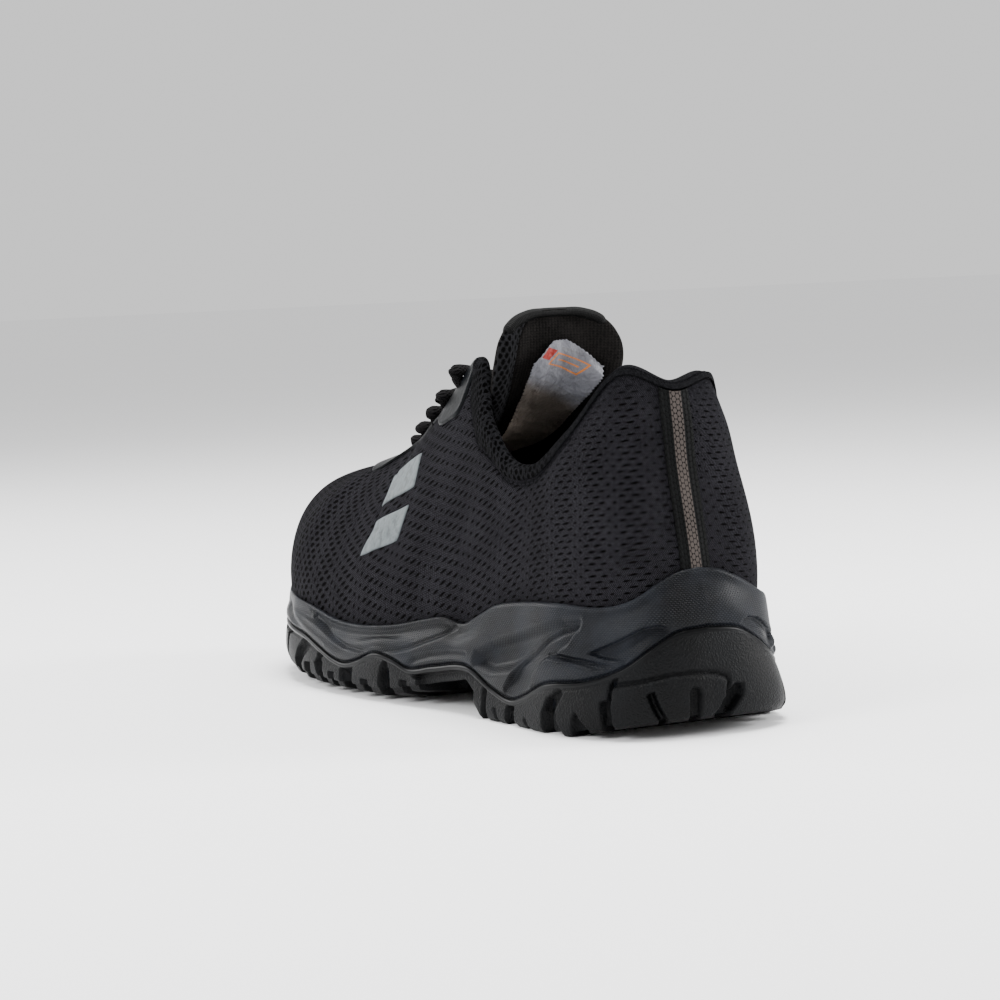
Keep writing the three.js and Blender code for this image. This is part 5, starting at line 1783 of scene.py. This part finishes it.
@dataclass
class Outsole:
    """Rubber outsole: lugs and cuts in its side that run on into the tread, and a lip under the foam."""

    columns: int = 1120
    depth: float = 2.4
    deepest: float = 4.2
    thick: float = 5.0
    belly: float = 0.36
    lip_inset: float = 1.2
    cup_insets: tuple[float, float] = (3.4, 3.8)
    insets: tuple[float, ...] = (24, 22, 20, 18.5, 17.5, 16.5, 15, 13, 11, 9, 7, 5)
    side_rows: int = 44
    lift: float = 2.8
    bead: float = 0.35
    channel_deep: float = 2.4
    heel: tuple[Moulding, ...] = (
        *moulds(0.8, 0.7, (*BLOCK_EDGE, (-3.1, 9.7), (1.2, 6.3), (3, -3), (34, -3)), both=False),
        *moulds(-1.7, 0.65, BLOCK_EDGE, line=True, both=False),
        *moulds(-2.0, 0.7, ((31, 22.5), (32.2, 19.4), (33.4, 17.5), (34.2, 13.2)), line=True, both=False),
        *moulds(-3.4, 0.8, (
            (21.5, 14.9), (19.5, 15.5), (18.7, 12.9), (17.5, 9.9), (13.5, 3), (13, -3), (17, -3), (17.6, 5.8),
            (20.1, 10.6)), both=False),
        *moulds(-2.6, 0.8, (
            (8.3, -3), (7.8, 14.8), (6.9, 16.2), (5.1, 15.8), (4.2, 14.4), (4.6, -3)), both=False),
        *moulds(-3.6, 0.8, (
            (-3.7, 11.6), (-8.1, 15.8), (-11.3, 15.6), (-10.9, 11.9), (-6.8, 7), (-4, -3), (2, -3), (-1, 6)),
            both=False),
        *moulds(-2.8, 0.8, ((105.4, 12.1), (103.5, 10.2), (102.5, -3), (106.6, -3), (105.2, 5))),
        *moulds(-3.2, 0.8, ((89.3, 6.4), (85, 6.3), (83.1, -3), (88.9, -3), (89.8, 4.1)),
                ((37.6, 12.2), (34, 13), (33.6, 6.8), (32.2, -3), (36.7, -3))),
        *moulds(-2.2, 1.0, (
            (55.2, 15.2), (61.6, 11.8), (64.5, 7.1), (64.5, -3), (52.8, -3), (57.2, 5.4), (57.5, 8.5),
            (54.1, 13.8))),
        *moulds(-1.5, 0.8, ((61.6, 11.8), (64.5, 7.1), (64.5, -3), (61, -3), (61.5, 6), (60, 10))),
        *moulds(-2.4, 0.8, ((48, 8.3), (46.6, 6.3), (43.3, 3.3), (43, -3), (50.5, -3), (49.2, 6.1))),
        *moulds(-1.0, 0.6, ((97.4, 4.3), (96, 1.8), (94.7, -2)), ((76.4, 3.2), (73.7, -2)), line=True),
    )
    lugs: tuple[Moulding, ...] = moulds(
        2.4, 0.8,
        ((253.2, 17.2), (234.6, 19.5), (229.7, 17.4), (236.1, 13.6), (239.4, 9.4), (240, -3), (254, -3)),
        ((228.6, 11.5), (221.9, 15.4), (216.4, 14.8), (214.7, 12.5), (217.4, 9.9), (215.2, 5.5), (215, -3),
         (233.5, -3), (231.9, 8.4)),
        ((212.3, 12.3), (209, 12.6), (196.2, 10.1), (195.1, 4.3), (195, -3), (211, -3), (209.8, 5.4)),
        ((187.6, 11.2), (185, 13.2), (176.4, 15.8), (166, 15.9), (167.9, 12.2), (169.6, 4.3), (170, -3),
         (187, -3)),
        ((165.6, 15.4), (163.2, 14.5), (155.5, 12.7), (145.9, 9.8), (146, -3), (162, -3), (162.8, 11.1)),
        ((256.5, -3), (257.5, 17.5), (264, 18.5), (270, 17), (271, -3)),
        ((275, -3), (275.5, 17.5), (281, 19), (287, 18), (287.5, -3)),
        ((291.5, -3), (292, 18), (297, 19), (302, 18.5), (302.5, -3)),
        ((306.5, -3), (307, 18.5), (312, 19.5), (317, 19), (317.5, -3)),
        ((322, -3), (322.5, 19), (330, 20), (345, 20), (345, -3)),
    )
    notches: tuple[Moulding, ...] = (
        *moulds(-1.9, 0.8, ((222.6, 9.3), (227.9, 8.9), (229, -3), (221.5, -3)),
                ((200.8, 7.8), (204.6, 7.7), (205.2, -3), (199.9, -3)),
                ((176.4, 7.2), (180.6, 7.2), (181.9, -3), (175.5, -3)),
                ((152.4, 8.9), (155.9, 8.9), (157.6, -3), (150, -3))),
        *moulds(-1.8, 1.4, ((165, 12), (168, 11), (169, -3), (162.5, -3)),
                ((189, 9), (194, 8), (194, -3), (188, -3)),
                ((211, 10.5), (215, 9.5), (214.4, -3), (211.5, -3)),
                ((233, 12), (237, 9), (239.4, -3), (234.5, -3))),
    )
    channels: tuple[tuple[float, float, float, float, float], ...] = (
        (-0.3, 0.15, 0.18, 0.25, 0), (0.3, 0.15, 0.18, 0.25, 0), (-0.45, 0.6, 0.2, 0.25, 0.12),
        (0.45, 0.6, 0.2, 0.25, -0.12), (-0.05, 0.53, 0.12, 0.2, 1.35), (-0.05, 0.67, 0.12, 0.2, 1.35),
    )

    def relief(self, along: Array, up: Array, top: Array) -> Array:
        """Height of the side's shapes: sunk between the lugs from the arch on, with the lugs back out, and
        the heel's block and cuts; nothing in the lip."""
        zone = smooth(110.5, 113.5, np.abs(along))
        free = smooth(1.6, 2.8, top - up)
        lugs = np.minimum(moulded(self.lugs, along, up), self.depth)
        shapes = zone * (lugs - self.depth) + moulded(self.notches, along, up) + moulded(self.heel, along, up)
        lip = self.bead * bell(top - up, 0.7, 0.6) - 0.3 * bell(top - up, 1.9, 0.35)
        return np.maximum(shapes, -self.deepest) * free + lip

    def tread_cuts(self, points: Array) -> Array:
        """Depth of the straight channels in the flat of the tread, 0 to 1."""
        cut = np.zeros(points.shape[:2])
        for x, y, long, wide, turn in self.channels:
            half = np.array([wide * 10.0, long * LAST.length / 2])
            dx = points[..., 0] - x * LAST.ball_half
            dy = points[..., 1] - LAST.heel_overhang - y * LAST.length
            a = np.abs(dx * math.cos(turn) + dy * math.sin(turn)) - half[0]
            b = np.abs(-dx * math.sin(turn) + dy * math.cos(turn)) - half[1]
            cut = np.maximum(cut, fall(-0.5, 0.5, np.maximum(a, b)))
        return cut

    def build(self) -> None:
        """Rows from the tread's middle line out to its edge, up the side, over the lip and into the cup."""
        u = np.linspace(0, TURN, self.columns, endpoint=False)
        flare, lip, top = SOLE.flare(u), SOLE.lip(u), SOLE.outsole_top(u)
        round_ = SOLE.edge_round * SOLE.side_at(u, "round")
        out, along = LAST.outward(u), SOLE.along(u)

        def foot(inset: Array, above: Array) -> Array:
            """Point of the tread at an inset from the side."""
            return SOLE.beside(u, flare - inset, SOLE.tread(u, inset + np.zeros_like(u)) + above)

        low = SOLE.tread(u, np.zeros_like(u))
        corner = foot(0.35 * round_ + 0.2, 0.75 * round_ + 0.4)
        wall = SOLE.beside(u, flare, low + self.belly * (top - low))
        crest = SOLE.beside(u, lip - self.lip_inset, top)
        t = np.linspace(0, 1, self.side_rows)[:, None, None]
        middle = 2 * wall - 0.5 * (corner + crest)
        side = (1 - t) ** 2 * corner + 2 * (1 - t) * t * middle + t * t * crest
        shape = self.relief(along + np.zeros((self.side_rows, 1)), side[..., 2], top)
        side = side + out[None] * shape[..., None]
        edge_cut = np.clip(-shape[0] / self.depth, 0, 1.2)
        near = 0.6 * SOLE.edge_round + 1.2 * round_
        flat = np.stack([foot(i, 0) for i in self.insets] + [foot(near, 0), foot(0.5 * near, 0.12 * round_)])
        deep = np.array(self.insets + (4, 2))[:, None]
        flat[..., 2] += self.lift * edge_cut[None] * fall(16.5, 18.5, deep)
        flat[-1] += out * np.minimum(shape[0], 0)[:, None] * 0.7
        flat[-2] += out * np.minimum(shape[0], 0)[:, None] * 0.3
        centre = 0.5 * (flat[0] + flat[0][::-1][np.arange(-1, len(u) - 1)])
        w = np.linspace(0, 0.96, 13)[::-1][:-1][:, None, None]
        core = flat[0] * (1 - w) + centre * w
        core[..., 2] = SOLE.underside(core[..., 1])
        under = np.concatenate([core, flat])
        under[..., 2] += self.channel_deep * self.tread_cuts(under) * (under[..., 2] < 14)
        cup = SOLE.beside(u, lip - self.cup_insets[1], SOLE.floor(u) + self.thick)
        inner = SOLE.beside(u, lip - self.cup_insets[0], top)
        points = np.concatenate([under, side, np.stack([inner, cup])])
        uv = pattern(SOLE.run(u), wrapped(points[..., 2]))
        over = smooth(1.9, 1.5, top - points[..., 2]) * (np.arange(len(points)) >= len(under))[:, None]
        piece = Grid(points, uv, wrap_cols=True, sewn=True, marks={"lip": over}).build("outsole_tread")
        dress(piece, Rubber(), Slot.OUTSOLE, "outsole")


@dataclass
class Insole:
    """Cloth-covered bed inside the upper: rings at insets from the feather line and heights over it."""

    columns: int = 240
    insets: tuple[float, ...] = (4.2, 3.0, 3.0, 4.5)
    heights: tuple[float, ...] = (0, 1.6, 3.6, 4)

    def build(self) -> None:
        """Rings just inside the upper's wall, closed over the top."""
        u = np.linspace(0, TURN, self.columns, endpoint=False)
        insets, heights = np.array(self.insets)[:, None], np.array(self.heights)[:, None]
        points = SOLE.beside(u, -insets + 0 * u, LAST.station(u)[:, 2] + heights)
        uv = wrapped(points[..., :2])
        piece = Grid(points, uv, wrap_cols=True, sewn=True).build("insole_bed")
        dress(piece, Cloth(), Slot.INSOLE, "insole")


def main() -> None:
    """Builds the studio and every sub-assembly in order."""
    logging.basicConfig(level=logging.INFO, format="%(name)s %(message)s")
    for part in (Studio(), Outsole(), Midsole(), Insole(), Upper(), Tongue(), Overlays(), Laces()):
        LOG.info("building %s", type(part).__name__)
        part.build()


if __name__ == "__main__":
    main()
